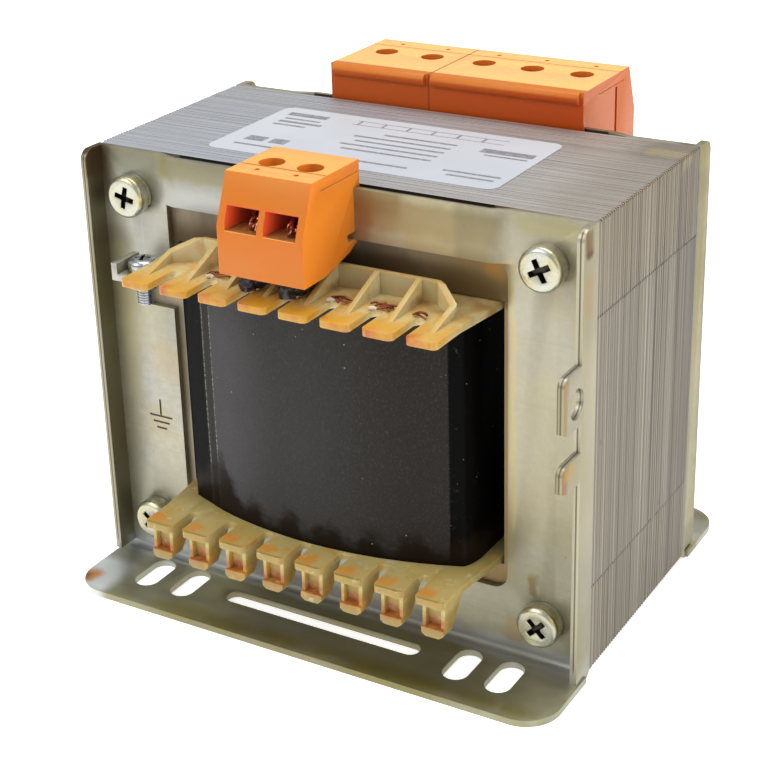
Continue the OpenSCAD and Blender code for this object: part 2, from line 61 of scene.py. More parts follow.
# ---------------------------------------------------------------- materials
class G:
    """A small node-graph builder. P is the place on the part in millimetres."""

    def __init__(s, name):
        s.m = bpy.data.materials.new(name)
        s.m.use_nodes = True
        s.t = s.m.node_tree
        s.t.nodes.clear()
        s.out = s.n("ShaderNodeOutputMaterial")
        s.b = s.n("ShaderNodeBsdfPrincipled")
        s.t.links.new(s.b.outputs[0], s.out.inputs[0])
        tc = s.n("ShaderNodeTexCoord")
        s.P = s.v("SCALE", tc.outputs["Object"], k=1000.0)
        s.N = s.n("ShaderNodeNewGeometry").outputs["Normal"]

    def n(s, kind, **props):
        x = s.t.nodes.new(kind)
        for k, v in props.items():
            setattr(x, k, v)
        return x

    def put(s, sock, v):
        if isinstance(v, bpy.types.NodeSocket):
            s.t.links.new(v, sock)
        elif v is not None:
            if hasattr(sock.default_value, "__len__") and not hasattr(v, "__len__"):
                v = (v, v, v) if len(sock.default_value) == 3 else (v, v, v, 1.0)
            sock.default_value = v

    def v(s, op, a, b=None, k=None):
        x = s.n("ShaderNodeVectorMath", operation=op)
        s.put(x.inputs[0], a)
        if b is not None:
            s.put(x.inputs[1], b)
        if k is not None:
            s.put(x.inputs["Scale"], k)
        return x.outputs["Value"] if op in ("LENGTH", "DOT_PRODUCT", "DISTANCE") else x.outputs["Vector"]

    def f(s, op, a, b=None, d=None, clamp=False):
        x = s.n("ShaderNodeMath", operation=op, use_clamp=clamp)
        s.put(x.inputs[0], a)
        if b is not None:
            s.put(x.inputs[1], b)
        if d is not None:
            s.put(x.inputs[2], d)
        return x.outputs[0]

    def noise(s, vec, scale, detail=2.0, rough=0.5, distort=0.0, color=False):
        x = s.n("ShaderNodeTexNoise")
        s.put(x.inputs["Vector"], vec)
        x.inputs["Scale"].default_value = scale
        x.inputs["Detail"].default_value = detail
        x.inputs["Roughness"].default_value = rough
        x.inputs["Distortion"].default_value = distort
        return x.outputs["Color" if color else "Fac"]

    def voronoi(s, vec, scale, feature="F1", rnd=1.0):
        x = s.n("ShaderNodeTexVoronoi", feature=feature)
        s.put(x.inputs["Vector"], vec)
        x.inputs["Scale"].default_value = scale
        x.inputs["Randomness"].default_value = rnd
        return x.outputs["Distance"]

    def white(s, w):
        x = s.n("ShaderNodeTexWhiteNoise", noise_dimensions="1D")
        s.put(x.inputs["W"], w)
        return x.outputs["Value"]

    def mr(s, x, a, b, lo=0.0, hi=1.0):
        m = s.n("ShaderNodeMapRange", interpolation_type="SMOOTHSTEP")
        s.put(m.inputs["Value"], x)
        m.inputs["From Min"].default_value = a
        m.inputs["From Max"].default_value = b
        m.inputs["To Min"].default_value = lo
        m.inputs["To Max"].default_value = hi
        return m.outputs["Result"]

    def mix(s, fac, a, b, blend="MIX"):
        m = s.n("ShaderNodeMix", data_type="RGBA", blend_type=blend)
        s.put(m.inputs[0], fac)
        s.put(m.inputs[6], a)
        s.put(m.inputs[7], b)
        return m.outputs[2]

    def sep(s, vec):
        x = s.n("ShaderNodeSeparateXYZ")
        s.put(x.inputs[0], vec)
        return x.outputs[0], x.outputs[1], x.outputs[2]

    def comb(s, x, y, z):
        m = s.n("ShaderNodeCombineXYZ")
        for i, v in enumerate((x, y, z)):
            s.put(m.inputs[i], v)
        return m.outputs[0]

    def warp(s, amount, scale, vec=None):
        """P pushed about by noise, for ragged edges."""
        vec = vec or s.P
        d = s.v("SUBTRACT", s.noise(vec, scale, 3, 0.6, color=True), (0.5, 0.5, 0.5))
        return s.v("ADD", vec, s.v("SCALE", d, k=amount))

    def box(s, P, centre, half, soft):
        """1 inside a box, falling to 0 over soft mm."""
        d = s.v("ABSOLUTE", s.v("SUBTRACT", P, centre))
        d = s.v("MAXIMUM", s.v("SUBTRACT", d, half), (0.0, 0.0, 0.0))
        return s.mr(s.v("LENGTH", d), 0.0, soft, 1.0, 0.0)

    def mul(s, *a):
        x = a[0]
        for y in a[1:]:
            x = s.f("MULTIPLY", x, y)
        return x

    def soft_patch(s, col, P, centre, half, soft, colour, amount, by=None):
        m = s.mul(s.box(P, centre, half, soft), amount)
        if by is not None:
            m = s.mul(m, by)
        return s.mix(m, col, colour)

    def bump(s, height, dist, strength=1.0, normal=None):
        x = s.n("ShaderNodeBump")
        s.put(x.inputs["Height"], height)
        x.inputs["Distance"].default_value = dist * MM
        x.inputs["Strength"].default_value = strength
        if normal is not None:
            s.put(x.inputs["Normal"], normal)
        return x.outputs[0]

    def done(s, color=None, rough=None, metal=None, normal=None, **fixed):
        b = s.b.inputs
        if color is not None:
            s.put(b["Base Color"], color)
        if rough is not None:
            s.put(b["Roughness"], rough)
        if metal is not None:
            s.put(b["Metallic"], metal)
        if normal is not None:
            s.put(b["Normal"], normal)
        for k, v in fixed.items():
            b[k.replace("_", " ")].default_value = v
        return s.m


def zinc(name, stains_and_highlights, lo=(158, 158, 151), hi=(174, 169, 150), rough=(0.36, 0.50), foot=0.75, metal=0.8):
    """Zinc with yellow passivation: cloudy grey and straw, fine rolling lines, specks, and the drips, stains and
    painted highlights given; painted shade on the flanks and in the gap behind the bar.
    """
    g = G(name)
    x, y, z = g.sep(g.P)
    Pw = g.warp(3.0, 0.13)
    nx, ny, nz = g.sep(g.N)
    cloud = g.noise(g.P, 0.035, 4, 0.55)
    fine = g.noise(g.P, 0.5, 5, 0.65)
    roll = g.noise(g.v("MULTIPLY", g.P, (0.03, 1.6, 1.6)), 1.0, 3, 0.6)
    col = g.mix(g.mr(cloud, 0.36, 0.64), c(*lo), c(*hi))
    col = g.mix(g.mr(g.noise(g.P, 0.05, 3, 0.5), 0.50, 0.74, 0, 0.34), col, c(184, 176, 134))
    col = g.mix(g.mr(g.noise(g.v("ADD", g.P, (40.0, 9.0, 3.0)), 0.04, 2, 0.5), 0.52, 0.75, 0, 0.35), col, c(168, 174, 178))
    col = g.mix(g.mr(fine, 0.35, 0.75, 0.0, 0.22), col, c(226, 224, 208))
    col = g.mix(g.mr(roll, 0.5, 0.8, 0.0, 0.16), col, c(120, 116, 92))
    if foot:
        low = g.mr(z, 1.9, 4.5, 1.0, 0.0)
        olive = g.mix(g.mr(g.noise(g.P, 0.05, 3, 0.5), 0.38, 0.62), c(136, 131, 98), c(126, 116, 66))
        olive = g.mix(g.mr(g.f("ABSOLUTE", x), 26.0, 56.0, 0.0, 0.75), olive, c(172, 173, 156))
        col = g.mix(g.mul(low, foot), col, olive)
        rim = g.mul(low, g.mr(g.f("ABSOLUTE", g.f("SUBTRACT", g.f("ABSOLUTE", g.f("ADD", y, -YC)), 47.5)), 0.0, 5.0, 1.0, 0.0))
        col = g.mix(g.mul(rim, g.mr(g.noise(g.P, 0.12, 2, 0.5), 0.35, 0.6, 0.1, 0.75)), col, c(134, 128, 66))
    # painted shade: the outward faces of the flanges are a little darker, and yellower
    col = g.mix(g.mul(g.mr(g.f("ABSOLUTE", nx), 0.6, 0.9), g.mr(z, 2.0, 4.0), 0.7), col, c(134, 126, 96))
    for centre, half, soft, colour, amount in stains_and_highlights:
        by = g.mr(g.f("ABSOLUTE", nx), 0.35, 0.75) if abs(centre[0]) > 60.05 and centre[2] > 20 else None
        col = g.soft_patch(col, Pw, centre, half, soft, c(*colour), amount, by)
    # the thin front arrises of the flanges and hooks, and the cut of the earth mark
    off = g.f("ABSOLUTE", g.f("SUBTRACT", y, YC))
    col = g.mix(g.mul(g.mr(off, 40.6, 41.0), g.mr(z, 20.0, 22.0), g.mr(g.f("ABSOLUTE", ny), 0.5, 0.8), 0.85), col, c(96, 84, 48))
    # the cut front edges of the flanges: a painted highlight along each edge, and a thin dark line just beyond it
    col = g.mix(g.mul(g.mr(g.f("ABSOLUTE", x), 58.6, 59.0), g.mr(off, 32.6, 33.0), g.mr(z, 3.0, 6.0), g.mr(g.f("ABSOLUTE", ny), 0.5, 0.8), 0.55), col, c(172, 168, 142))
    col = g.mix(g.mul(g.mr(g.f("ABSOLUTE", x), 59.05, 59.15), g.mr(g.f("ABSOLUTE", x), 59.40, 59.55, 1.0, 0.0), g.mr(off, 31.6, 32.4), g.mr(z, 3.0, 6.0), 0.75), col, c(74, 62, 38))
    # painted shadow on the bar's hidden side, seen down the gap behind it
    col = g.mix(g.mul(g.mr(g.f("ABSOLUTE", x), 38.5, 38.0), g.mr(z, 85.0, 86.0), g.mr(off, 28.7, 28.4), 0.9), col, c(30, 26, 20))
    cut = g.mul(g.mr(off, 27.96, 27.90), g.mr(off, 27.2, 27.4), g.mr(g.f("ABSOLUTE", x), 43.4, 43.5), g.mr(g.f("ABSOLUTE", x), 51.4, 51.5, 1.0, 0.0),
                g.mr(z, 33.9, 34.0), g.mr(z, 42.9, 43.0, 1.0, 0.0))
    col = g.mix(g.mul(cut, 0.8), col, c(74, 60, 34))
    speck = g.mr(g.voronoi(g.P, 0.42), 0.04, 0.10, 1.0, 0.0)
    keep = g.mr(g.noise(g.P, 0.21, 1, 0.5), 0.56, 0.66)
    col = g.mix(g.mul(speck, keep, 0.5), col, c(96, 84, 56))
    h = g.f("ADD", g.mul(fine, 0.5), g.mul(roll, 0.5))
    nrm = g.bump(h, 0.05, 0.5)
    r = g.mr(g.f("ADD", cloud, g.mul(g.f("SUBTRACT", fine, 0.5), 0.5)), 0.3, 0.7, *rough)
    return g.done(col, r, metal, nrm)


def screw_zinc(name, tint=(188, 184, 160), tint2=(186, 188, 178), rough=(0.26, 0.38), tiny=0.015, yellow=0.5):
    g = G(name)
    n1 = g.noise(g.P, 0.25, 3, 0.5)
    n2 = g.noise(g.P, 2.2, 4, 0.6)
    col = g.mix(g.mr(n1, 0.4, 0.6), c(*tint), c(*tint2))
    col = g.mix(g.mr(g.noise(g.v("ADD", g.P, (9.0, 5.0, 2.0)), 0.2, 2, 0.5), 0.5, 0.7, 0, yellow), col, c(190, 180, 112))
    col = g.mix(g.mr(n2, 0.5, 0.8, 0, 0.25), col, c(130, 126, 100))
    x, y, z = g.sep(g.P)
    # the cross recess in each clamp screw's head, and the one in the earth screw, are made dark
    dx = g.f("SUBTRACT", g.f("ABSOLUTE", x), 50.0)
    dz = g.f("SUBTRACT", g.f("ABSOLUTE", g.f("SUBTRACT", z, 51.5)), 40.0)
    rr = g.f("SQRT", g.f("ADD", g.mul(dx, dx), g.mul(dz, dz)))
    pit = g.mul(g.mr(rr, 2.75, 2.95, 1.0, 0.0), g.mr(y, -34.82, -34.6), g.mr(y, -32.0, -31.0, 1.0, 0.0))
    ex, ey = g.f("ADD", x, 43.5), g.f("ADD", y, 38.1)
    er = g.f("SQRT", g.f("ADD", g.mul(ex, ex), g.mul(ey, ey)))
    pit = g.f("ADD", pit, g.mul(g.mr(er, 2.0, 2.2, 1.0, 0.0), g.mr(z, 79.5, 79.7, 1.0, 0.0), g.mr(z, 78.3, 78.4)), clamp=True)
    col = g.mix(g.mul(pit, 0.93), col, c(26, 18, 12))
    rim = g.mul(g.mr(rr, 4.0, 4.9), g.mr(g.noise(g.v("ADD", g.P, (3.0, 8.0, 1.0)), 0.4, 2, 0.5), 0.5, 0.62))
    col = g.mix(g.mul(rim, 0.6), col, c(150, 140, 74))
    return g.done(col, g.mr(n2, 0.3, 0.7, *rough), 0.9, g.bump(n2, tiny, 0.5))


def core_steel(name):
    """Punched edges of the stacked sheets, and the varnished face of the outermost ones."""
    g = G(name)
    x, y, z = g.sep(g.P)
    nx, ny, nz = g.sep(g.N)
    top = g.mr(g.f("ABSOLUTE", nz), 0.5, 0.8)
    face = g.mr(g.f("ABSOLUTE", ny), 0.6, 0.85)
    sheet = g.f("FLOOR", g.f("DIVIDE", g.f("ADD", y, 29.4), 0.5))
    r1 = g.white(sheet)
    r2 = g.white(g.f("ADD", sheet, 311.7))
    # along each sheet the cut edge changes a little
    run = g.noise(g.comb(g.mul(sheet, 3.7), g.mul(x, 0.04), g.mul(z, 0.02)), 1.0, 2, 0.5)
    side = g.mix(r1, c(99, 92, 78), c(136, 128, 110))
    side = g.mix(g.mr(run, 0.4, 0.7, 0.0, 0.5), side, c(123, 116, 100))
    dark = g.mul(g.mr(r2, 0.84, 0.88), g.mr(run, 0.30, 0.5, 0.25, 0.75))
    side = g.mix(dark, side, c(50, 44, 36))
    groups = g.mr(g.noise(g.comb(g.mul(y, 0.22), 0.0, g.mul(z, 0.002)), 1.0, 2, 0.5), 0.5, 0.68, 0.0, 0.35)
    side = g.mix(groups, side, c(102, 95, 84))
    pale = g.mul(g.mr(g.white(g.f("ADD", sheet, 77.3)), 0.88, 0.92), 0.5)
    side = g.mix(pale, side, c(166, 159, 146))
    # the rear sheets are darker between their joints, and the joints hold dark varnish
    back = g.mul(g.mr(y, 17.6, 17.9), g.mr(z, 21.3, 21.6), g.mr(z, 81.3, 81.6, 1.0, 0.0))
    side = g.mix(g.mul(back, 0.7), side, c(90, 82, 74))
    # a dark dot at each sheet's own E to I joint, which falls high or low by turns
    turn = g.mr(g.f("FRACT", g.f("MULTIPLY", sheet, 0.5)), 0.2, 0.3)
    high = g.mul(g.mr(g.f("ABSOLUTE", g.f("SUBTRACT", z, 81.5)), 0.2, 0.42, 1.0, 0.0), turn)
    lowj = g.mul(g.mr(g.f("ABSOLUTE", g.f("SUBTRACT", z, 21.5)), 0.2, 0.42, 1.0, 0.0), g.f("SUBTRACT", 1.0, turn))
    side = g.mix(g.mul(g.f("MAXIMUM", high, lowj), 0.9), side, c(38, 32, 26))
    blot = g.mul(g.mr(g.voronoi(g.v("MULTIPLY", g.P, (1.0, 1.0, 0.45)), 0.22), 0.05, 0.10, 1.0, 0.0), g.mr(g.noise(g.P, 0.08, 1, 0.5), 0.52, 0.6))
    side = g.mix(g.mul(blot, 0.6), side, c(84, 74, 60))
    # the top is cooler on the left, warm and speckled under the rear blocks
    tl = g.mix(g.mr(g.f("ADD", x, g.mul(g.f("SUBTRACT", g.noise(g.P, 0.05, 2, 0.5), 0.5), 60.0)), -30.0, 42.0),
               c(172, 176, 184), c(176, 172, 168))
    tl = g.mix(g.mul(g.mr(y, -8.0, 22.0), g.mr(x, -20.0, 40.0, 0.3, 0.9), 0.5), tl, c(164, 151, 138))
    line = g.mix(g.mr(run, 0.35, 0.65), c(150, 146, 142), c(212, 210, 208))
    tl = g.mix(0.09, tl, line)
    tl = g.mix(g.mul(g.mr(r2, 0.84, 0.9), 0.22), tl, c(116, 112, 108))
    spk = g.noise(g.P, 1.3, 4, 0.7)
    tl = g.mix(g.mul(g.mr(spk, 0.55, 0.75), g.mr(y, 0.0, 20.0, 0.25, 0.7)), tl, c(120, 104, 88))
    col = g.mix(top, side, tl)
    # seam between neighbouring sheets
    fr = g.f("FRACT", g.f("DIVIDE", g.f("ADD", y, 29.4), 0.5))
    seam = g.mr(g.f("ABSOLUTE", g.f("SUBTRACT", fr, 0.5)), 0.36, 0.5, 0.0, 0.22)
    col = g.mix(g.mul(seam, g.f("SUBTRACT", 1.0, face)), col, c(70, 62, 52))
    # warm tint high on the side, near the rear flange and along the foot
    Pw = g.warp(10.0, 0.08)
    col = g.soft_patch(col, Pw, (60.0, 5.0, 96.0), (6.0, 28.0, 5.0), 16.0, c(128, 112, 84), 0.35)
    col = g.soft_patch(col, Pw, (60.0, 20.0, 50.0), (6.0, 5.0, 60.0), 10.0, c(100, 93, 82), 0.45)
    col = g.soft_patch(col, Pw, (55.9, 15.7, 101.5), (3.0, 1.2, 0.6), 3.5, c(186, 172, 128), 0.45)
    # varnished outer face, brown to olive
    fn = g.noise(g.v("MULTIPLY", g.P, (0.10, 0.10, 0.05)), 1.0, 3, 0.55)
    fc = g.mix(g.mr(fn, 0.38, 0.62), c(132, 121, 102), c(158, 148, 128))
    fc = g.mix(g.mr(x, 14.0, 34.0), fc, c(152, 130, 88))
    fc = g.soft_patch(fc, Pw, (38.6, -29.4, 88.6), (0.8, 3.0, 1.0), 2.4, c(196, 140, 48), 0.6)
    # painted shade on the face just above the comb plate, fading out by z 90
    fc = g.mix(g.mul(g.mr(z, 79.0, 81.0), g.mr(z, 83.0, 90.0, 0.85, 0.1)), fc, c(92, 74, 42))
    # painted shadow in the gap behind the bar, along the top of the face
    fc = g.mix(g.mul(g.mr(g.f("ABSOLUTE", x), 38.5, 37.5), g.mr(z, 99.4, 100.2), 0.9), fc, c(24, 20, 16))
    col = g.mix(face, col, fc)
    h = g.noise(g.P, 1.1, 4, 0.6)
    return g.done(col, g.mr(run, 0.3, 0.7, 0.42, 0.55), 0.5, g.bump(h, 0.02, 0.4))


def orange(name, front):
    """Orange polyamide with painted light: paler where it faces up and brighter on the +X faces, a painted crimson
    glow, shade and glints inside the wire entries, painted shade on the walls that face the core.
    """
    g = G(name)
    x, y, z = g.sep(g.P)
    nx, ny, nz = g.sep(g.N)
    n1 = g.noise(g.P, 0.08, 3, 0.5)
    n2 = g.noise(g.P, 3.0, 3, 0.6)
    col = g.mix(g.mr(n1, 0.35, 0.65), c(198, 108, 24), c(195, 112, 29))
    # painted light: faces turned to +X take their own lit tone
    col = g.mix(g.mr(nx, 0.35, 0.95), col, c(240, 138, 40) if front else c(208, 102, 22))
    # painted highlight: faces turned up are paler and yellower, on the rear blocks only behind y 26.5
    up = g.mr(nz, 0.35, 0.95) if front else g.mul(g.mr(nz, 0.35, 0.95), g.mr(y, 26.2, 26.8))
    col = g.mix(up, col, c(234, 168, 86) if front else c(248, 186, 110))
    col = g.mix(g.mr(n2, 0.6, 0.8, 0, 0.10), col, c(196, 72, 16))
    if front:
        inner = g.mul(g.mr(y, -51.9, -51.5), g.mr(y, -36.0, -35.0, 1.0, 0.0), g.mr(z, 95.6, 95.75), g.mr(z, 100.65, 100.8, 1.0, 0.0))
        keep = g.f("ADD", g.box(g.P, (-7.2, -44.0, 98.1), (3.86, 12.0, 4.0), 0.1), g.box(g.P, (2.0, -44.0, 98.1), (3.86, 12.0, 4.0), 0.1))
        pit = g.mul(inner, keep)
        deep = g.mr(y, -51.6, -42.5)
        bed = g.mr(nz, 0.5, 0.8)
    else:
        # painted shade on the walls that face the core, deeper to the right
        wall_shade = g.mul(g.mr(ny, -0.4, -0.8), g.mr(z, 108.4, 109.0, 1.0, 0.0))
        col = g.mix(g.mul(wall_shade, g.mr(x, -30.0, 34.0, 0.78, 0.98)), col, c(188, 74, 13))
        col = g.mix(g.mul(g.mr(g.f("ABSOLUTE", g.f("ADD", x, 6.3)), 0.16, 0.32, 1.0, 0.0), g.mr(nz, -0.5, 0.0), 0.75), col, c(138, 56, 14))
        pit = g.mul(g.mr(x, -31.2, -31.1), g.mr(x, 31.0, 31.1, 1.0, 0.0), g.mr(y, 53.3, 52.9), g.mr(y, 36.0, 37.0), g.mr(z, 95.6, 95.75), g.mr(z, 101.95, 102.1, 1.0, 0.0), g.mr(ny, 0.98, 0.99, 1.0, 0.0))
    if front:
        # inside the front wire entries: painted crimson light on the walls, painted shade deepening inward, a dark
        # floor with painted glints, and a painted crimson glow
        glint = g.mr(g.noise(g.v("ADD", g.P, (5.0, 2.0, 0.0)), 1.1, 4, 0.7), 0.56, 0.64)
        pc = g.mix(g.mr(deep, 0.15, 1.0), c(206, 46, 48), c(84, 18, 14))
        pc = g.mix(bed, pc, g.mix(glint, c(50, 12, 8), c(206, 96, 70)))
        col = g.mix(g.mul(pit, 0.97), col, pc)
        glow = g.mul(pit, g.f("SUBTRACT", 1.0, bed), g.f("SUBTRACT", 1.0, g.mul(deep, 0.8)))
        g.put(g.b.inputs["Emission Color"], g.mix(glow, (0.0, 0.0, 0.0, 1), c(178, 36, 34)))
    else:
        # painted crimson light and a painted glow inside the rear wire entries
        col = g.mix(g.mul(pit, 0.85), col, c(190, 56, 30))
        g.put(g.b.inputs["Emission Color"], g.mix(pit, (0.0, 0.0, 0.0, 1), c(150, 30, 18)))
    nrm = g.bump(g.f("ADD", g.mul(n2, 0.6), g.mul(g.noise(g.P, 0.12, 2, 0.5), 2.0)), 0.03, 0.35)
    return g.done(col, g.mr(n2, 0.3, 0.7, 0.34, 0.46), 0.0, nrm, Subsurface_Weight=0.25, Emission_Strength=0.4, Specular_IOR_Level=0.28,
                  Subsurface_Radius=(1.0, 0.35, 0.12), Subsurface_Scale=0.0012, IOR=1.5)


def nylon(name):
    """Ivory nylon that the impregnating varnish has stained amber at the teeth."""
    g = G(name)
    x, y, z = g.sep(g.P)
    ay = g.f("ABSOLUTE", g.f("SUBTRACT", y, YC))
    nx, ny, nz = g.sep(g.N)
    n1 = g.noise(g.P, 0.10, 3, 0.55)
    n2 = g.noise(g.P, 0.7, 4, 0.6)
    up = g.mr(z, 60.0, 62.0)
    flat = g.mr(nz, 0.6, 0.9)
    ivory = g.mix(g.mr(n1, 0.35, 0.65), c(206, 194, 150), c(194, 176, 122))
    ivory = g.mix(g.mul(flat, g.mr(n2, 0.3, 0.7, 0.35, 0.75)), ivory, c(186, 156, 84))
    # the comb's wall is olive towards the right, pale on the left
    wall = g.mul(g.mr(ny, -0.5, -0.8), g.mr(ay, 34.0, 33.0), g.mr(x, -14.0, 16.0))
    ivory = g.mix(g.mul(wall, 0.6), ivory, c(138, 122, 70))
    low = g.mix(g.mr(n1, 0.35, 0.65), c(190, 174, 118), c(182, 162, 96))
    low = g.mix(g.mul(g.mr(ay, 42.0, 33.0), 0.65), low, c(136, 124, 72))
    col = g.mix(up, low, ivory)
    wy = g.f("ADD", ay, g.mul(g.f("SUBTRACT", g.noise(g.P, 0.28, 3, 0.6), 0.5), 6.0))
    wz = g.f("ADD", z, g.mul(g.f("SUBTRACT", n2, 0.5), 1.6))
    # place across one tooth, 0 on its left side to 1 on the next one's
    u = g.f("FRACT", g.f("DIVIDE", g.f("ADD", g.mul(x, g.mr(y, -3.0, -2.8, 1.0, -1.0)), 78.0 + 37.6), 9.75))
    left = g.mr(u, 0.10, 0.42, 1.0, 0.0)
    # upper teeth: yellow towards the tips, an orange patch on each tip's left
    tip = g.mul(up, g.mr(wy, 42.5, 47.6))
    col = g.mix(g.mul(tip, g.mr(n1, 0.35, 0.65, 0.7, 0.95)), col, c(198, 146, 34))
    face = g.mul(up, g.mr(ny, -0.4, -0.8), g.mr(ay, 46.0, 46.6))
    col = g.mix(g.mul(face, 0.8), col, g.mix(g.mr(n2, 0.4, 0.66), c(184, 140, 34), c(180, 114, 34)))
    tip2 = g.mul(up, g.mr(wy, 47.0, 49.6), left, g.mr(g.noise(g.v("ADD", g.P, (3.0, 1.0, 7.0)), 0.12, 2, 0.5), 0.38, 0.58))
    col = g.mix(g.mul(tip2, 0.85), col, c(178, 78, 40))
    # a yellow run along the foot of each rib
    run = g.mul(up, flat, g.mr(g.noise(g.v("MULTIPLY", g.P, (0.5, 0.16, 0.3)), 1.0, 3, 0.6), 0.5, 0.62), g.mr(wy, 36.0, 40.0))
    col = g.mix(g.mul(run, 0.6), col, c(198, 150, 46))
    # brown varnish in the corner behind the ribs
    nook = g.mul(up, g.mr(wy, 40.5, 34.5), g.mr(wz, 81.9, 83.4, 1.0, 0.0), g.mr(ny, -0.5, -0.2))
    col = g.mix(g.mul(nook, g.mr(n1, 0.4, 0.6, 0.2, 0.75)), col, c(120, 82, 40))
    # lower teeth: an amber patch behind the lip, amber pockets, red-brown varnish low in front
    lo = g.f("SUBTRACT", 1.0, up)
    patch = g.mul(lo, g.mr(wy, 43.6, 46.4), g.mr(ay, 47.9, 48.7, 1.0, 0.0), g.mr(z, 21.2, 21.7), g.mr(u, 0.28, 0.5, 1.0, 0.15))
    col = g.mix(g.mul(patch, 0.8), col, c(208, 138, 40))
    lip = g.mul(lo, g.mr(ay, 48.3, 48.8), g.mr(z, 21.0, 21.6))
    col = g.mix(g.mul(lip, 0.85), col, c(154, 130, 60))
    hang = g.mul(lo, g.mr(wz, 19.4, 21.0, 1.0, 0.0))
    col = g.mix(g.mul(hang, 0.8), col, c(160, 136, 60))
    toe = g.mul(lo, g.mr(z, 16.9, 16.5))
    col = g.mix(g.mul(toe, 0.85), col, c(150, 124, 62))
    drip = g.mul(lo, g.mr(ay, 44.0, 46.0), g.mr(z, 16.2, 16.9), g.mr(wz, 18.0, 19.6, 1.0, 0.0), g.mr(n2, 0.38, 0.55, 0.45, 1.0), g.mr(g.f("ABSOLUTE", nx), 0.5, 0.8, 1.0, 0.35))
    col = g.mix(g.mul(drip, 0.85), col, c(160, 74, 28))
    col = g.mix(g.mul(g.mr(g.noise(g.P, 0.30, 4, 0.65), 0.52, 0.66), g.mr(ay, 34.0, 42.0, 0.3, 0.6)), col, c(196, 142, 46))
    col = g.mix(g.mul(g.mr(g.noise(g.v("ADD", g.P, (11.0, 3.0, 5.0)), 0.45, 4, 0.65), 0.58, 0.70), lo, 0.4), col, c(216, 206, 168))
    nrm = g.bump(g.f("ADD", g.mul(n2, 0.5), g.mul(g.noise(g.P, 0.2, 2, 0.5), 1.5)), 0.05, 0.4)
    return g.done(col, g.mr(n2, 0.3, 0.7, 0.30, 0.46), 0.0, nrm, Subsurface_Weight=0.35,
                  Subsurface_Radius=(1.0, 0.72, 0.30), Subsurface_Scale=0.0018, IOR=1.53)


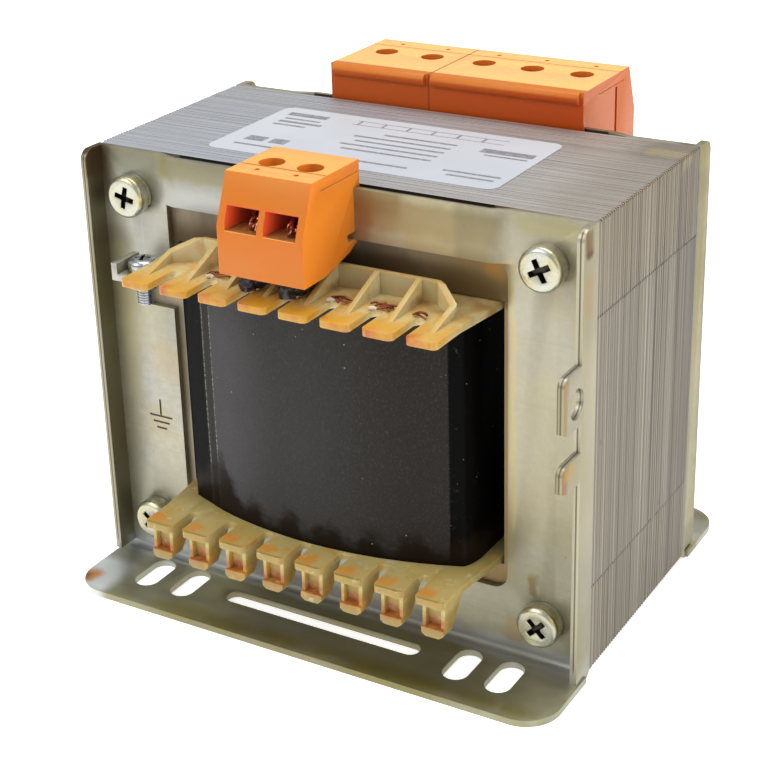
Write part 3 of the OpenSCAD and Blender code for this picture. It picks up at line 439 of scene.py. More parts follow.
def wrap_black(name):
    """Black varnished tape: satin, dusty, with brown varnish along the bottom, a painted sheen lighter on the left,
    painted highlights on its tape edges and painted shade on both sides.
    """
    g = G(name)
    x, y, z = g.sep(g.P)
    n1 = g.noise(g.P, 0.05, 3, 0.5)
    n2 = g.noise(g.P, 1.2, 4, 0.6)
    nx, ny, nz = g.sep(g.N)
    # painted sheen: the grey is lighter on the left, darker to the right, and darker again left of the inner tape edge
    grey = g.mix(g.mr(x, -24.0, -6.0), c(74, 73, 75), c(56, 55, 54))
    grey = g.mix(g.mr(x, -4.0, 26.0), grey, c(42, 39, 36))
    grey = g.mix(g.mr(x, -25.2, -25.6), grey, c(46, 46, 43))
    col = g.mix(g.mr(n1, 0.35, 0.65, 0.0, 0.15), grey, c(44, 39, 37))
    weave = g.noise(g.v("MULTIPLY", g.P, (2.4, 2.4, 1.7)), 1.0, 3, 0.7)
    col = g.mix(g.mr(weave, 0.5, 0.75, 0.0, 0.18), col, c(96, 94, 92))
    col = g.mix(g.mr(weave, 0.5, 0.25, 0.0, 0.2), col, c(22, 20, 19))
    # past a ragged line on each side, the real end of the outer tape, the coil is painted near black as painted shade
    # where it curves away
    wob = g.mul(g.f("SUBTRACT", g.noise(g.comb(g.mul(z, 2.2), 0.0, 0.0), 1.0, 4, 0.7), 0.5), 1.3)
    edge = g.f("MAXIMUM", g.mr(g.f("ADD", x, wob), 31.4, 31.9), g.mr(g.f("ADD", x, g.mul(wob, 0.7)), -28.2, -28.4))
    # painted highlight along the two tape edges on the left of the front
    for xe, w_ in ((-28.1, 0.34), (-25.4, 0.22)):
        tape_edge_highlight = g.mr(g.f("ABSOLUTE", g.f("SUBTRACT", g.f("ADD", x, g.mul(wob, 0.7)), xe)), w_ * 0.4, w_, 1.0, 0.0)
        col = g.mix(g.mul(tape_edge_highlight, g.mr(g.noise(g.v("MULTIPLY", g.P, (1.0, 1.0, 1.6)), 1.0, 3, 0.7), 0.4, 0.62), g.mr(ny, -0.2, -0.5), 0.75), col, c(150, 148, 140))
    col = g.mix(edge, col, c(3, 3, 3))
    # varnish has crept up from each gap between the teeth
    per = g.f("ABSOLUTE", g.f("SUBTRACT", g.f("FRACT", g.f("DIVIDE", g.f("ADD", x, g.f("ADD", g.mul(g.f("SUBTRACT", g.noise(g.P, 0.12, 2, 0.5), 0.5), 5.0), 78.0)), 9.75)), 0.5))
    bl = g.noise(g.v("MULTIPLY", g.P, (0.16, 0.16, 0.30)), 1.0, 4, 0.65)
    rise = g.f("ADD", g.mul(g.mr(per, 0.10, 0.40, 1.0, 0.0), 3.0), g.mul(g.f("SUBTRACT", bl, 0.45), 9.0))
    rise = g.f("ADD", rise, g.mul(g.box(g.P, (-25.5, -38.0, 30.0), (1.5, 20.0, 40.0), 8.0), 8.0))
    low = g.mr(g.f("SUBTRACT", z, rise), 23.0, 28.0, 1.0, 0.0)
    col = g.mix(g.mul(low, 0.9), col, c(26, 18, 11))
    col = g.mix(g.mr(z, 23.4, 24.6, 0.9, 0.0), col, c(22, 15, 10))
    dust = g.mul(g.mr(g.voronoi(g.P, 0.32), 0.03, 0.06, 1.0, 0.0), g.mr(g.noise(g.P, 0.13, 1, 0.5), 0.48, 0.6))
    col = g.mix(g.mul(dust, 0.5), col, c(190, 188, 180))
    lint = g.mul(g.mr(g.noise(g.v("ADD", g.P, (7.0, 0.0, 2.0)), 0.9, 5, 0.75), 0.62, 0.7), g.mr(g.noise(g.P, 0.07, 2, 0.5), 0.5, 0.62), 0.25)
    col = g.mix(lint, col, c(120, 116, 110))
    rough = g.f("ADD", g.mr(n2, 0.3, 0.7, 0.42, 0.5), g.mul(low, -0.12))
    nrm = g.bump(g.f("ADD", g.mul(n2, 0.5), g.mul(g.noise(g.P, 0.15, 2, 0.5), 1.0)), 0.04, 0.35)
    return g.done(col, rough, 0.0, nrm, IOR=1.42, Specular_IOR_Level=0.06)


def plain(name, a, b, rough=(0.4, 0.55), metal=0.0, scale=0.8, bump=0.03, **kw):
    g = G(name)
    n1 = g.noise(g.P, scale * 0.2, 3, 0.55)
    n2 = g.noise(g.P, scale * 2.0, 4, 0.6)
    col = g.mix(g.mr(n1, 0.35, 0.65), c(*a), c(*b))
    return g.done(col, g.mr(n2, 0.3, 0.7, *rough), metal, g.bump(n2, bump, 0.5), **kw)


FRONT_STAINS_AND_HIGHLIGHTS = [
    # centre, half size, softness (mm), colour, amount
    ((-49.0, -31.0, 99.8), (8.5, 3.0, 1.2), 3.0, (130, 122, 76), 0.6),
    ((-52.0, -31.0, 95.0), (7.0, 3.0, 4.0), 4.0, (130, 134, 122), 0.5),
    ((-50.5, -31.0, 80.0), (5.0, 3.0, 7.0), 5.0, (188, 190, 184), 0.45),
    ((-20.0, -32.6, 95.5), (18.0, 3.0, 6.0), 3.0, (140, 141, 136), 0.45),
    ((22.0, -32.6, 95.5), (15.0, 3.0, 6.0), 3.0, (172, 164, 120), 0.5),
    ((50.0, -31.0, 66.0), (9.0, 3.0, 34.0), 5.0, (166, 156, 122), 0.45),
    ((-12.0, -32.6, 99.4), (29.0, 3.0, 1.4), 2.6, (130, 122, 76), 0.6),
    # painted highlight along the bar's lower bend
    ((-12.0, -32.6, 92.0), (30.0, 3.0, 1.0), 3.0, (196, 197, 194), 0.35),
    ((24.0, -32.6, 97.0), (15.0, 3.0, 2.2), 2.2, (138, 118, 74), 0.6),
    ((25.0, -32.6, 92.4), (12.0, 3.0, 1.6), 2.2, (166, 152, 112), 0.5),
    ((8.6, -32.6, 92.5), (1.6, 3.0, 5.0), 2.6, (146, 112, 62), 0.6),
    ((36.0, -31.6, 95.0), (4.0, 3.0, 5.0), 3.0, (120, 112, 86), 0.45),
    ((-59.6, -34.5, 99.0), (1.5, 3.0, 2.5), 3.0, (66, 44, 28), 0.85),
    ((-58.6, -31.5, 96.0), (1.5, 2.0, 5.0), 4.0, (84, 60, 40), 0.6),
    ((-59.0, -33.0, 80.0), (1.5, 3.5, 14.0), 8.0, (104, 96, 66), 0.5),
    ((-58.5, -32.5, 45.0), (2.0, 4.0, 34.0), 8.0, (104, 98, 70), 0.65),
    ((60.2, -33.4, 98.4), (0.5, 0.8, 1.8), 1.8, (88, 42, 18), 1.0),
    ((60.2, -33.5, 88.0), (0.5, 0.8, 3.0), 3.0, (164, 134, 84), 0.4),
    ((42.4, -31.0, 55.0), (0.4, 3.0, 36.0), 1.0, (186, 172, 116), 0.5),
    ((39.4, -30.9, 88.8), (0.6, 3.0, 0.8), 1.2, (196, 150, 58), 0.6),
    ((52.0, -31.0, 99.0), (7.0, 3.0, 0.9), 2.6, (164, 156, 104), 0.5),
    ((57.0, -31.0, 60.0), (0.5, 3.0, 36.0), 1.2, (176, 168, 118), 0.4),
    ((47.2, -31.0, 18.6), (0.3, 3.0, 1.8), 1.0, (124, 92, 34), 0.8),
    ((47.6, -31.0, 20.6), (0.5, 3.0, 0.6), 1.2, (150, 122, 52), 0.6),
    ((43.2, -31.0, 7.0), (1.1, 3.0, 2.6), 2.2, (176, 142, 76), 0.55),
    ((46.5, -30.6, 2.0), (1.6, 3.0, 1.0), 1.8, (120, 84, 46), 0.7),
    ((50.0, -31.0, 14.0), (8.0, 3.0, 12.0), 14.0, (140, 136, 110), 0.45),
    ((-55.0, -31.0, 60.0), (1.0, 3.0, 18.0), 3.0, (150, 142, 100), 0.35),
    ((-47.6, -31.0, 36.6), (2.2, 3.0, 2.6), 2.6, (170, 156, 112), 0.35),
    ((-44.0, -31.0, 52.0), (2.4, 3.0, 2.6), 4.0, (176, 152, 100), 0.35),
    ((-49.0, -31.0, 62.0), (4.0, 3.0, 6.0), 6.0, (172, 162, 122), 0.3),
    ((-47.0, -31.0, 14.0), (6.0, 3.0, 6.0), 8.0, (152, 152, 134), 0.4),
    # hook tabs
    ((60.1, -43.9, 68.5), (0.5, 0.4, 6.0), 1.9, (144, 108, 44), 0.7),
    ((60.1, -43.8, 52.6), (0.5, 0.8, 3.2), 1.8, (138, 88, 36), 0.75),
    ((60.1, -41.4, 55.0), (0.5, 1.6, 2.0), 1.8, (170, 138, 74), 0.5),
    # foot
    ((-57.2, -46.2, 1.0), (3.6, 4.6, 1.2), 4.5, (240, 246, 248), 1.0),
    ((-48.0, -40.0, 1.0), (8.0, 8.0, 1.0), 8.0, (170, 172, 156), 0.35),
    ((-58.6, -48.2, 0.8), (1.2, 1.5, 1.2), 2.6, (206, 142, 76), 0.95),
    ((-59.4, -48.8, 0.8), (0.6, 0.8, 1.2), 1.6, (104, 70, 48), 0.6),
    # painted highlight on the fold between plate and foot, on the left
    ((-50.0, -31.5, 1.5), (9.0, 1.2, 1.0), 3.0, (176, 180, 176), 0.35),
    ((56.0, -38.0, 1.0), (3.5, 5.0, 1.0), 6.0, (168, 166, 142), 0.4),
    ((40.0, -46.0, 1.0), (20.0, 2.6, 1.0), 4.0, (122, 116, 76), 0.3),
    # painted highlight along the fold between plate and foot, across the width and on the right
    ((0.0, -31.9, 2.2), (58.0, 1.2, 1.2), 1.8, (192, 196, 200), 0.65),
    ((46.0, -33.0, 2.0), (12.0, 2.0, 1.5), 3.0, (176, 178, 172), 0.45),
    ((6.0, -35.6, 1.5), (40.0, 0.9, 0.5), 2.0, (104, 98, 72), 0.2),
    ((-8.0, -40.0, 1.0), (34.0, 4.0, 1.0), 6.0, (150, 146, 118), 0.4),
]
# the rear bracket takes these mirrored, the bar's painted highlight among them
REAR_STAINS_AND_HIGHLIGHTS = [(tuple((-p[0], 2 * YC - p[1], p[2])), h, s, col, a * 0.8) for p, h, s, col, a in FRONT_STAINS_AND_HIGHLIGHTS[:8] + FRONT_STAINS_AND_HIGHLIGHTS[13:18]]
REAR_STAINS_AND_HIGHLIGHTS += [
    ((60.0, 26.0, 60.0), (1.2, 5.0, 60.0), 2.0, (130, 123, 88), 0.7),
    ((60.0, 27.0, 60.0), (1.0, 1.2, 50.0), 2.0, (160, 150, 94), 0.5),
    ((60.0, 24.4, 60.0), (1.0, 0.8, 50.0), 1.2, (150, 152, 148), 0.35),
    ((60.0, 26.0, 98.0), (1.2, 4.0, 1.5), 2.0, (164, 156, 104), 0.4),
]

M_FRONT = zinc("zinc_front", FRONT_STAINS_AND_HIGHLIGHTS)
M_REAR = zinc("zinc_rear", REAR_STAINS_AND_HIGHLIGHTS, foot=0.35)
M_SCREW = screw_zinc("screw_zinc")
M_BRIGHT = screw_zinc("bright_zinc", (186, 194, 202), (170, 178, 186), (0.22, 0.30), 0.003, 0.12)
M_CORE = core_steel("core_steel")
M_ORANGE = orange("orange_front", True)
M_ORANGE2 = orange("orange_rear", False)
M_NYLON = nylon("nylon")
M_WRAP = wrap_black("black_wrap")
M_COPPER = plain("copper", (190, 96, 48), (214, 128, 70), (0.25, 0.4), 0.9)
M_FILM = plain("insulation_film", (196, 170, 110), (180, 150, 92))
M_SLEEVE = plain("black_sleeve", (12, 12, 13), (26, 26, 27), (0.12, 0.32), 0.0, 1.0, 0.12)
M_CLAMP = plain("clamp_metal", (206, 150, 116), (214, 186, 160), (0.22, 0.4), 0.9)
M_BARE = plain("bare_wire_ends", (104, 50, 26), (140, 80, 46), (0.25, 0.45), 0.6, 2.0)
M_GUARD = plain("clamp_guard_metal", (120, 50, 34), (206, 140, 118), (0.18, 0.35), 0.85, 2.0)
M_THREAD = plain("white_tape_ends", (206, 198, 178), (188, 172, 138), (0.5, 0.7), 0.0, 2.0)


def label(name):
    """White film with generic grey bars and cells in place of any print."""
    g = G(name)
    n1 = g.noise(g.P, 0.04, 3, 0.5)
    n2 = g.noise(g.P, 1.4, 3, 0.6)
    x, y, z = g.sep(g.P)
    col = g.mix(g.mr(n1, 0.35, 0.65), c(184, 188, 196), c(190, 194, 200))
    col = g.mix(g.mr(y, -20.0, 10.0, 0.0, 0.25), col, c(204, 202, 200))
    tone = c(98, 100, 106)
    bars = [(-28.5, 9.4, 5.2, 1.15), (-28.0, 6.0, 4.6, 0.42), (-27.2, 3.6, 5.6, 0.6), (-28.6, 1.2, 4.2, 0.42),
            (-29.6, -10.4, 2.4, 1.6), (-23.6, -10.4, 2.0, 1.6), (-27.4, -15.0, 5.0, 0.42),
            (4.0, 3.6, 9.0, 0.42), (1.0, 0.6, 12.0, 0.42), (2.0, -2.4, 11.0, 0.42), (1.0, -5.4, 12.0, 0.42), (2.0, -8.4, 11.0, 0.42),
            (25.6, 3.0, 6.2, 1.3), (26.4, 0.2, 5.0, 0.36), (25.0, -12.6, 6.6, 0.42), (25.8, -15.0, 5.4, 0.42), (2.0, -15.0, 9.0, 0.42)]
    m = None
    for bx, by, hx, hy in bars:
        k = g.box(g.P, (bx, by - 3.4 + 1.5, 101.6), (hx, hy, 1.0), 0.16)
        m = k if m is None else g.f("MAXIMUM", m, k)
    cells = g.box(g.P, (3.0, 7.6, 101.6), (19.0, 1.5, 1.0), 0.12)
    hole = g.mr(g.f("ABSOLUTE", g.f("SUBTRACT", g.f("FRACT", g.f("DIVIDE", g.f("ADD", x, 40.0), 6.3)), 0.5)), 0.44, 0.46, 1.0, 0.0)
    hole = g.mul(hole, g.mr(g.f("ABSOLUTE", g.f("SUBTRACT", y, 7.6)), 1.15, 1.25, 1.0, 0.0))
    m = g.f("MAXIMUM", m, g.mul(cells, g.f("SUBTRACT", 1.0, hole)))
    grain = g.mr(n2, 0.3, 0.6, 0.55, 0.85)
    col = g.mix(g.mul(m, grain), col, tone)
    return g.done(col, g.mr(n2, 0.3, 0.7, 0.36, 0.46), 0.0, g.bump(n2, 0.01, 0.3))


M_LABEL = label("label_white")

LOOK = {
    "e_laminations": M_CORE, "i_laminations": M_CORE, "front_bracket": M_FRONT, "rear_bracket": M_REAR,
    "clamp_screws": M_SCREW, "lock_washers": M_SCREW, "nut_washers": M_SCREW, "clamp_nuts": M_SCREW,
    "bobbin": M_NYLON, "primary_winding": M_COPPER, "winding_insulation": M_FILM, "secondary_winding": M_COPPER,
    "outer_wrap": M_WRAP, "front_terminal_body": M_ORANGE, "front_terminal_clamps": M_CLAMP,
    "front_terminal_screws": M_CLAMP, "rear_terminal_body_2p": M_ORANGE2, "rear_terminal_body_3p": M_ORANGE2,
    "rear_terminal_clamps": M_CLAMP, "rear_terminal_screws": M_CLAMP, "primary_leads": M_BARE,
    "primary_sleeves": M_SLEEVE, "secondary_leads": M_COPPER, "earth_screw": M_BRIGHT, "earth_washer": M_BRIGHT,
    "earth_nut": M_BRIGHT, "rating_label": M_LABEL,
}
for name, mat in LOOK.items():
    o = NODES[name]
    o.data.materials.clear()
    o.data.materials.append(mat)


# ---------------------------------------------------------------- geometry
def obj(name, verts, faces, mat, sharp=35.0, slot=None):
    me = bpy.data.meshes.new(name)
    me.from_pydata(verts, [], faces)
    me.materials.append(mat)
    me.validate()
    me.update()
    o = bpy.data.objects.new(name, me)
    bpy.context.scene.collection.objects.link(o)
    if sharp:
        me.shade_smooth()
        me.set_sharp_from_angle(angle=math.radians(sharp))
    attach(o, "root")
    return o


def softened(node, width, angle=28.0, segments=2, slot=None, name=None, skip=None):
    """The CAD node's own mesh with its arrises rounded by width mm, standing in for the node."""
    src = NODES[node].data
    bm = bmesh.new()
    bm.from_mesh(src)
    bmesh.ops.remove_doubles(bm, verts=bm.verts, dist=2e-6)
    bmesh.ops.dissolve_limit(bm, angle_limit=math.radians(0.4), verts=bm.verts[:], edges=bm.edges[:], delimit={"NORMAL"})
    bm.normal_update()
    edges = []
    for e in bm.edges:
        if len(e.link_faces) == 2 and e.calc_face_angle(0.0) > math.radians(angle) and e.calc_length() > 0.05 * MM:
            if skip and skip((e.verts[0].co + e.verts[1].co) / 2 / MM):
                continue
            edges.append(e)
    bmesh.ops.bevel(bm, geom=edges, offset=width * MM, offset_type="OFFSET", segments=segments, profile=0.5,
                    affect="EDGES", clamp_overlap=True, loop_slide=True)
    verts = [v.co.copy() for v in bm.verts]
    bm.verts.index_update()
    faces = [[v.index for v in f.verts] for f in bm.faces]
    bm.free()
    o = obj(name or node + "_soft", verts, faces, LOOK[node], 40.0, slot)
    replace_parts(o, node)
    return o


def solid(verts, faces, outer, holes, y0, y1):
    """A plate whose outline is drawn in X and Z (mm, final frame), from y0 to y1, added to the lists."""
    loops = [outer] + holes
    flat = [q for lp in loops for q in lp]
    tris = tessellate_polygon([[Vector((q[0], q[1], 0.0)) for q in lp] for lp in loops])
    n0, n = len(verts), len(flat)
    verts += [(q[0] * MM, y0 * MM, q[1] * MM) for q in flat] + [(q[0] * MM, y1 * MM, q[1] * MM) for q in flat]
    for a, b, d in tris:
        area = (flat[b][0] - flat[a][0]) * (flat[d][1] - flat[a][1]) - (flat[d][0] - flat[a][0]) * (flat[b][1] - flat[a][1])
        if abs(area) < 1e-9:
            continue
        if area < 0:
            b, d = d, b
        faces.append((n0 + a, n0 + b, n0 + d))
        faces.append((n0 + n + a, n0 + n + d, n0 + n + b))
    i = 0
    for lp in loops:
        k = len(lp)
        turn = sum(lp[j][0] * lp[(j + 1) % k][1] - lp[(j + 1) % k][0] * lp[j][1] for j in range(k))
        out = (turn > 0) == (lp is outer)
        for j in range(k):
            a, b = n0 + i + j, n0 + i + (j + 1) % k
            faces.append((a, a + n, b + n, b) if out else (a, b, b + n, a + n))
        i += k


def ring2(cx, cz, r, k=14):
    return [(cx + r * math.cos(2 * math.pi * j / k), cz + r * math.sin(2 * math.pi * j / k)) for j in range(k)]


def core_sheets():
    """106 punched sheets of 0.5 mm, E and I turned about one by one, each a little out of line."""
    rng = random.Random(20)
    ev, ef, iv, jf = [], [], [], []
    for k in range(106):
        y0 = YC - 26.5 + 0.5 * k
        y1 = y0 + 0.5 - (0.0 if k == 105 else rng.choice((0.012, 0.018, 0.025)))
        down = k < 2 or k >= 104 or k % 2 == 0
        dx, dz = rng.uniform(-0.02, 0.02), rng.uniform(0.0, 0.05)
        ix, iz = rng.uniform(-0.02, 0.02), rng.uniform(0.0, 0.05)
        gap = rng.uniform(0.06, 0.13) if k < 92 else rng.uniform(0.16, 0.28)
        top = 80.0 - gap
        f = (lambda x, z: (x, ZC + z)) if down else (lambda x, z: (x, ZC + 100.0 - z))
        e = [(-59.95 + dx, dz), (59.95 + dx, dz), (59.95 + dx, top), (40.0 + dx, top), (40.0 + dx, 20.0), (20.0, 20.0), (20.0, top),
             (-20.0, top), (-20.0, 20.0), (-40.0 + dx, 20.0), (-40.0 + dx, top), (-59.95 + dx, top)]
        e = [f(*q) for q in e]
        cut = rng.uniform(0.5, 0.62)
        t = 100.0 - iz
        i = [(-59.93 + ix, 80.0), (59.93 + ix, 80.0), (59.93 + ix, t - cut), (59.93 + ix - cut, t)]
        if k == 15:
            i += [(58.6, t), (57.4, t - 0.7), (51.6, t - 0.35)]
        i += [(-59.93 + ix + cut, t), (-59.93 + ix, t - cut)]
        i = [f(*q) for q in i]
        eh = [ring2(s, ZC + (10 if down else 90), 2.9) for s in (-50, 50)]
        ih = [ring2(s, ZC + (90 if down else 10), 2.9) for s in (-50, 50)]
        if not down:
            e, i = e[::-1], i[::-1]
        solid(ev, ef, e, eh, y0, y1)
        solid(iv, jf, i, ih, y0, y1)
    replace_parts(obj("core_e_sheets", ev, ef, M_CORE, 0, SLOT_OF.get("e_laminations")), "e_laminations")
    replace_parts(obj("core_i_sheets", iv, jf, M_CORE, 0, SLOT_OF.get("i_laminations")), "i_laminations")


def coil_outline(n, d=0.0):
    """The wrapped coil's section: a rounded box trimmed by two shallow crowns, in mm about its own centre."""
    X, Y, r, K = 36.0 - d, 40.9 - d, 13.0 - d, 90.0 - d

    def inside(x, y):
        ax, ay = abs(x), abs(y)
        if ax > X or ay > Y:
            return False
        if ax > X - r and ay > Y - r and math.hypot(ax - X + r, ay - Y + r) > r:
            return False
        return math.hypot(x, ay + 90.0 - 40.9) <= K

    dense = []
    for j in range(1440):
        a = 2 * math.pi * j / 1440
        lo, hi = 0.0, 60.0
        for _ in range(26):
            m = (lo + hi) / 2
            if inside(m * math.cos(a), m * math.sin(a)):
                lo = m
            else:
                hi = m
        dense.append((lo * math.cos(a), lo * math.sin(a)))
    cum = [0.0]
    for j in range(1440):
        a, b = dense[j], dense[(j + 1) % 1440]
        cum.append(cum[-1] + math.hypot(b[0] - a[0], b[1] - a[1]))
    out, j = [], 0
    for k in range(n):
        t = cum[-1] * k / n
        while cum[j + 1] < t:
            j += 1
        u = (t - cum[j]) / max(cum[j + 1] - cum[j], 1e-9)
        a, b = dense[j], dense[(j + 1) % 1440]
        out.append((a[0] + (b[0] - a[0]) * u, a[1] + (b[1] - a[1]) * u))
    return out, cum[-1]


def coil_wrap():
    n, m = 420, 64
    line, total = coil_outline(n)
    nor = []
    for k in range(n):
        a, b = line[k - 1], line[(k + 1) % n]
        t = Vector((b[0] - a[0], b[1] - a[1])).normalized()
        nor.append((t.y, -t.x))
    z0, z1 = ZC + 21.85, ZC + 78.15
    verts, faces = [], []
    for q in range(m + 1):
        z = z0 + (z1 - z0) * q / m
        for k in range(n):
            x, y = line[k]
            p = Vector((x * 0.06, y * 0.06, z * 0.035))
            d = 0.10 + 0.13 * noise.noise(p) + 0.03 * noise.noise(p * 9.0)
            # the tape's last turns end in two ragged edges on the left of the front
            if y < -20.0:
                rag = 0.35 * noise.noise(Vector((z * 0.8, 3.0, 0.0))) + 0.2 * noise.noise(Vector((z * 3.1, 9.0, 0.0)))
                for xe, h in ((-28.2, 0.16), (-25.5, 0.12)):
                    u = (x + rag - xe) / 0.35
                    d += h * (1.0 if u < -1 else 0.0 if u > 1 else 0.5 - 0.5 * u) * min(1.0, (-y - 20.0) / 6.0) * (1.0 if x > -35.9 else 0.0)
            d = max(0.02, min(0.5, d))
            verts.append(((x - nor[k][0] * d) * MM, (y - nor[k][1] * d + YC) * MM, z * MM))
    for q in range(m):
        for k in range(n):
            a, b = q * n + k, q * n + (k + 1) % n
            faces.append((a, b, b + n, a + n))
    inner, _ = coil_outline(n, 0.58)
    base = len(verts)
    for z in (z0, z1):
        verts += [(x * MM, (y + YC) * MM, z * MM) for x, y in inner]
    for k in range(n):
        b = (k + 1) % n
        faces.append((base + b, base + k, base + n + k, base + n + b))
        faces.append((k, base + k, base + b, b))
        faces.append((m * n + k, m * n + b, base + n + b, base + n + k))
    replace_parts(obj("coil_wrap", verts, faces, M_WRAP, 50, SLOT_OF.get("outer_wrap")), "outer_wrap")


def tube(verts, faces, path, radii, k=14):
    """A closed tube along a list of points (mm), with its own radius at each point."""
    n0 = len(verts)
    side = None
    for j, p in enumerate(path):
        a, b = path[max(j - 1, 0)], path[min(j + 1, len(path) - 1)]
        t = (Vector(b) - Vector(a)).normalized()
        if side is None:
            side = t.orthogonal().normalized()
        side = (side - t * side.dot(t)).normalized()
        up = t.cross(side)
        for q in range(k):
            an = 2 * math.pi * q / k
            r = radii(j, an) if callable(radii) else radii
            v = Vector(p) + (side * math.cos(an) + up * math.sin(an)) * r
            verts.append(tuple(v * MM))
    L = len(path)
    for j in range(L - 1):
        for q in range(k):
            a, b = n0 + j * k + q, n0 + j * k + (q + 1) % k
            faces.append((a, b, b + k, a + k))
    faces.append(tuple(n0 + q for q in range(k))[::-1])
    faces.append(tuple(n0 + (L - 1) * k + q for q in range(k)))


def smooth_path(points, step=0.35):
    """Catmull-Rom through the points."""
    P = [Vector(p) for p in points]
    P = [P[0] * 2 - P[1]] + P + [P[-1] * 2 - P[-2]]
    out = []
    for i in range(1, len(P) - 2):
        n = max(2, int((P[i + 1] - P[i]).length / step))
        for j in range(n):
            t = j / n
            a, b, d, e = P[i - 1], P[i], P[i + 1], P[i + 2]
            out.append(0.5 * ((2 * b) + (d - a) * t + (2 * a - 5 * b + 4 * d - e) * t * t + (3 * b - a - 3 * d + e) * t ** 3))
    out.append(P[-2])
    return out


def sleeves():
    """Black heat-shrunk sleeves on the two front leads, lumpy with varnish."""
    verts, faces = [], []
    for i, (xs, xt) in enumerate(((-9.75, -7.2), (0.0, 2.0))):
        pts = [(xs, -43.2 + YC, 81.6), (xs - 0.1, -43.4 + YC, 82.8), (xs + 0.2, -42.9 + YC, 84.0),
               (xs + (xt - xs) * 0.45, -41.0 + YC, 84.9), (xs + (xt - xs) * 0.8, -38.6 + YC, 85.5)]
        path = smooth_path(pts, 0.22)
        L = len(path)

        def rad(j, an, L=L, i=i):
            u = j / (L - 1)
            r = 1.98 - 0.5 * max(0.0, u - 0.6) + 0.34 * noise.noise(Vector((j * 0.22, math.cos(an) * 1.5 + i * 7, math.sin(an) * 1.5)))
            r += 0.14 * noise.noise(Vector((j * 0.5, math.cos(an) * 3 + i * 7, math.sin(an) * 3)))
            return r * (0.82 if j in (0, L - 1) else 1.0)
        tube(verts, faces, path, rad, 20)
        pts = [(xs + 2.7, -43.4 + YC, 82.95), (xs + 2.5, -42.6 + YC, 83.3), (xt + 1.5, -40.4 + YC, 84.6), (xt + 1.3, -38.6 + YC, 85.4)]
        path = smooth_path(pts, 0.22)
        M = len(path)
        tube(verts, faces, path, lambda j, an, M=M, i=i: (1.25 + 0.2 * noise.noise(Vector((j * 0.3, math.cos(an) * 2 + i * 5 + 30, math.sin(an) * 2)))) * (0.8 if j in (0, M - 1) else 1.0), 18)
    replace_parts(obj("front_sleeves", verts, faces, M_SLEEVE, 60, SLOT_OF.get("primary_sleeves")), "primary_sleeves")


def wire_ends():
    """Cut ends of magnet wire and white tape lying in the comb, behind the slots."""
    rng = random.Random(5)
    cv, cf, wv, wf = [], [], [], []
    for xs, n in ((9.9, 7), (19.6, 7), (-19.6, 5), (29.3, 2)):
        for j in range(n):
            x = xs + rng.uniform(-1.6, 1.6)
            y = -40.3 + rng.uniform(-1.3, 1.1) + YC
            a = rng.choice((-1, 1)) * rng.uniform(0.8, 1.7)
            L = rng.uniform(2.2, 4.2)
            dx, dy = math.sin(a) * L, math.cos(a) * L
            pts = [(x - dx * 0.5, y - dy * 0.5, 81.62), (x - dx * 0.1, y - dy * 0.1, 81.8 + rng.uniform(0, 0.35)),
                   (x + dx * 0.25 + 0.3, y + dy * 0.2, 81.8 + rng.uniform(0, 0.4)), (x + dx * 0.5, y + dy * 0.45, 81.62)]
            tube(cv, cf, smooth_path(pts, 0.3), rng.uniform(0.18, 0.28), 10)
        pts = [(xs - 1.9, -41.9 + YC, 81.62), (xs - 1.2, -41.6 + YC, 81.85), (xs - 0.1, -41.9 + YC, 81.7)]
        if n > 3:
            tube(wv, wf, smooth_path(pts, 0.25), lambda j, an: 0.25 + 0.16 * abs(math.cos(an)), 10)
    # the clamps' bent guards in the two wire entries
    jv, jf = [], []
    for cx in (-7.2, 2.0):
        for j in range(8):
            x, y = cx + rng.uniform(-0.6, 2.6), rng.uniform(-51.0, -46.2)
            pts = [(x, y, 96.0), (x + rng.uniform(0.1, 0.9), y - rng.uniform(0.2, 1.2), 96.0 + rng.uniform(0.4, 1.6)),
                   (x + rng.uniform(0.3, 1.0), y + rng.uniform(-0.6, 1.0), 96.6 + rng.uniform(0.2, 1.6)), (x + rng.uniform(-0.4, 0.8), y + rng.uniform(0.4, 1.8), 96.1)]
            tube(jv, jf, smooth_path(pts, 0.25), lambda q, an: 0.16 + 0.2 * abs(math.cos(an)), 10)
    obj("clamp_guards", jv, jf, M_GUARD, 50, SLOT_OF.get("front_terminal_clamps"))
    obj("wire_ends", cv, cf, M_BARE, 50, SLOT_OF.get("primary_leads"))
    obj("tape_ends", wv, wf, M_THREAD, 50, SLOT_OF.get("winding_insulation"))


SLOT_OF = {u["node"]: u.get("material_slot") for u in frame["record"].get("subparts", [])}
core_sheets()
coil_wrap()
sleeves()
wire_ends()
for node, width in (("front_bracket", 0.16), ("rear_bracket", 0.16), ("clamp_screws", 0.22), ("clamp_nuts", 0.12),
                    ("nut_washers", 0.1), ("lock_washers", 0.1), ("front_terminal_body", 0.28),
                    ("rear_terminal_body_2p", 0.28), ("rear_terminal_body_3p", 0.28), ("bobbin", 0.28),
                    ("earth_screw", 0.1), ("earth_nut", 0.1), ("earth_washer", 0.08)):
    mark = (lambda q: 52.0 > abs(q.x) > 43.0 and 32.0 < q.z < 43.5 and abs(q.y - YC) < 31) if "bracket" in node else None
    softened(node, width, slot=SLOT_OF.get(node), skip=mark)


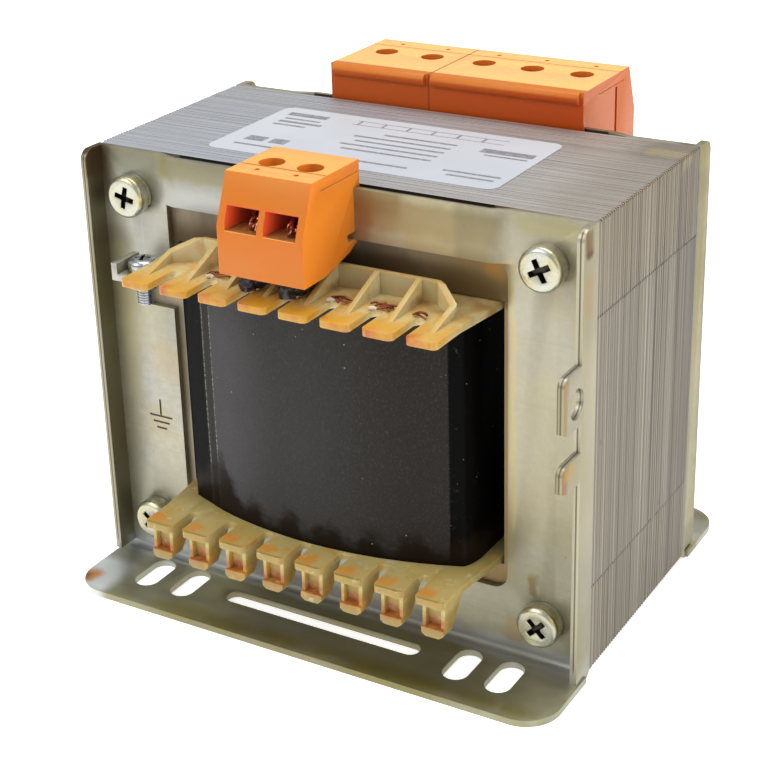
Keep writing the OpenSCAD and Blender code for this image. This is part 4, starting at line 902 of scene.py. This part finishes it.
# camera: the photograph's viewing angle
cam = bpy.data.cameras.new("view")
cam.sensor_width = 36.0
cam.sensor_fit = "HORIZONTAL"
cam.lens = 1761.0 / 771 * 36
cam.shift_y = -0.1
cam.clip_start, cam.clip_end = 0.02, 30
co = bpy.data.objects.new("view", cam)
bpy.context.scene.collection.objects.link(co)
RGT = Vector((0.8650522, 0.5010642, -0.0248881))
DWN = Vector((0.1698822, -0.3392464, -0.9252307))
FWD = Vector((-0.4720432, 0.7961448, -0.3785877))
R = Matrix((RGT, -DWN, -FWD)).transposed().to_4x4()
co.matrix_world = Matrix.Translation(Vector((184.976, -320.358, 213.367)) * MM) @ R
bpy.context.scene.camera = co


# floor and light
def light(name, kind, loc, target, energy, size=0.5, size_y=None, color=(1, 1, 1)):
    d = bpy.data.lights.new(name, kind)
    d.energy = energy
    d.color = color
    if kind == "AREA":
        d.shape = "RECTANGLE"
        d.size = size
        d.size_y = size_y or size
    o = bpy.data.objects.new(name, d)
    bpy.context.scene.collection.objects.link(o)
    o.location = loc
    o.rotation_euler = (Vector(target) - Vector(loc)).to_track_quat("-Z", "Y").to_euler()
    return o


w = bpy.data.worlds.new("studio")
bpy.context.scene.world = w
w.use_nodes = True
w.node_tree.nodes["Background"].inputs[0].default_value = (1.0, 1.0, 1.0, 1)
w.node_tree.nodes["Background"].inputs[1].default_value = 0.5
light("key", "AREA", (-0.45, -0.75, 0.85), (0, 0, 0.05), 5.7, 0.8, 0.7)
light("top", "AREA", (0.05, 0.15, 1.1), (0, 0, 0.05), 8.0, 1.0, 0.8)
light("right", "AREA", (1.05, -0.35, 0.55), (0, 0, 0.05), 2.2, 0.8, 0.8)

fm = G("floor_white")
fm.done(fm.mix(fm.mr(fm.noise(fm.P, 0.01, 2, 0.5), 0.3, 0.7, 0.0, 1.0), (0.90, 0.90, 0.90, 1), (0.92, 0.92, 0.92, 1)), 0.9, 0.0, Emission_Color=(1.0, 1.0, 1.0, 1.0), Emission_Strength=0.62)
me = bpy.data.meshes.new("floor")
me.from_pydata([(-6, -6, 0), (6, -6, 0), (6, 6, 0), (-6, 6, 0)], [], [(0, 1, 2, 3)])
me.materials.append(fm.m)
floor = bpy.data.objects.new("floor", me)
bpy.context.scene.collection.objects.link(floor)

vs = bpy.context.scene.view_settings
vs.view_transform = "Standard"
vs.look = "None"
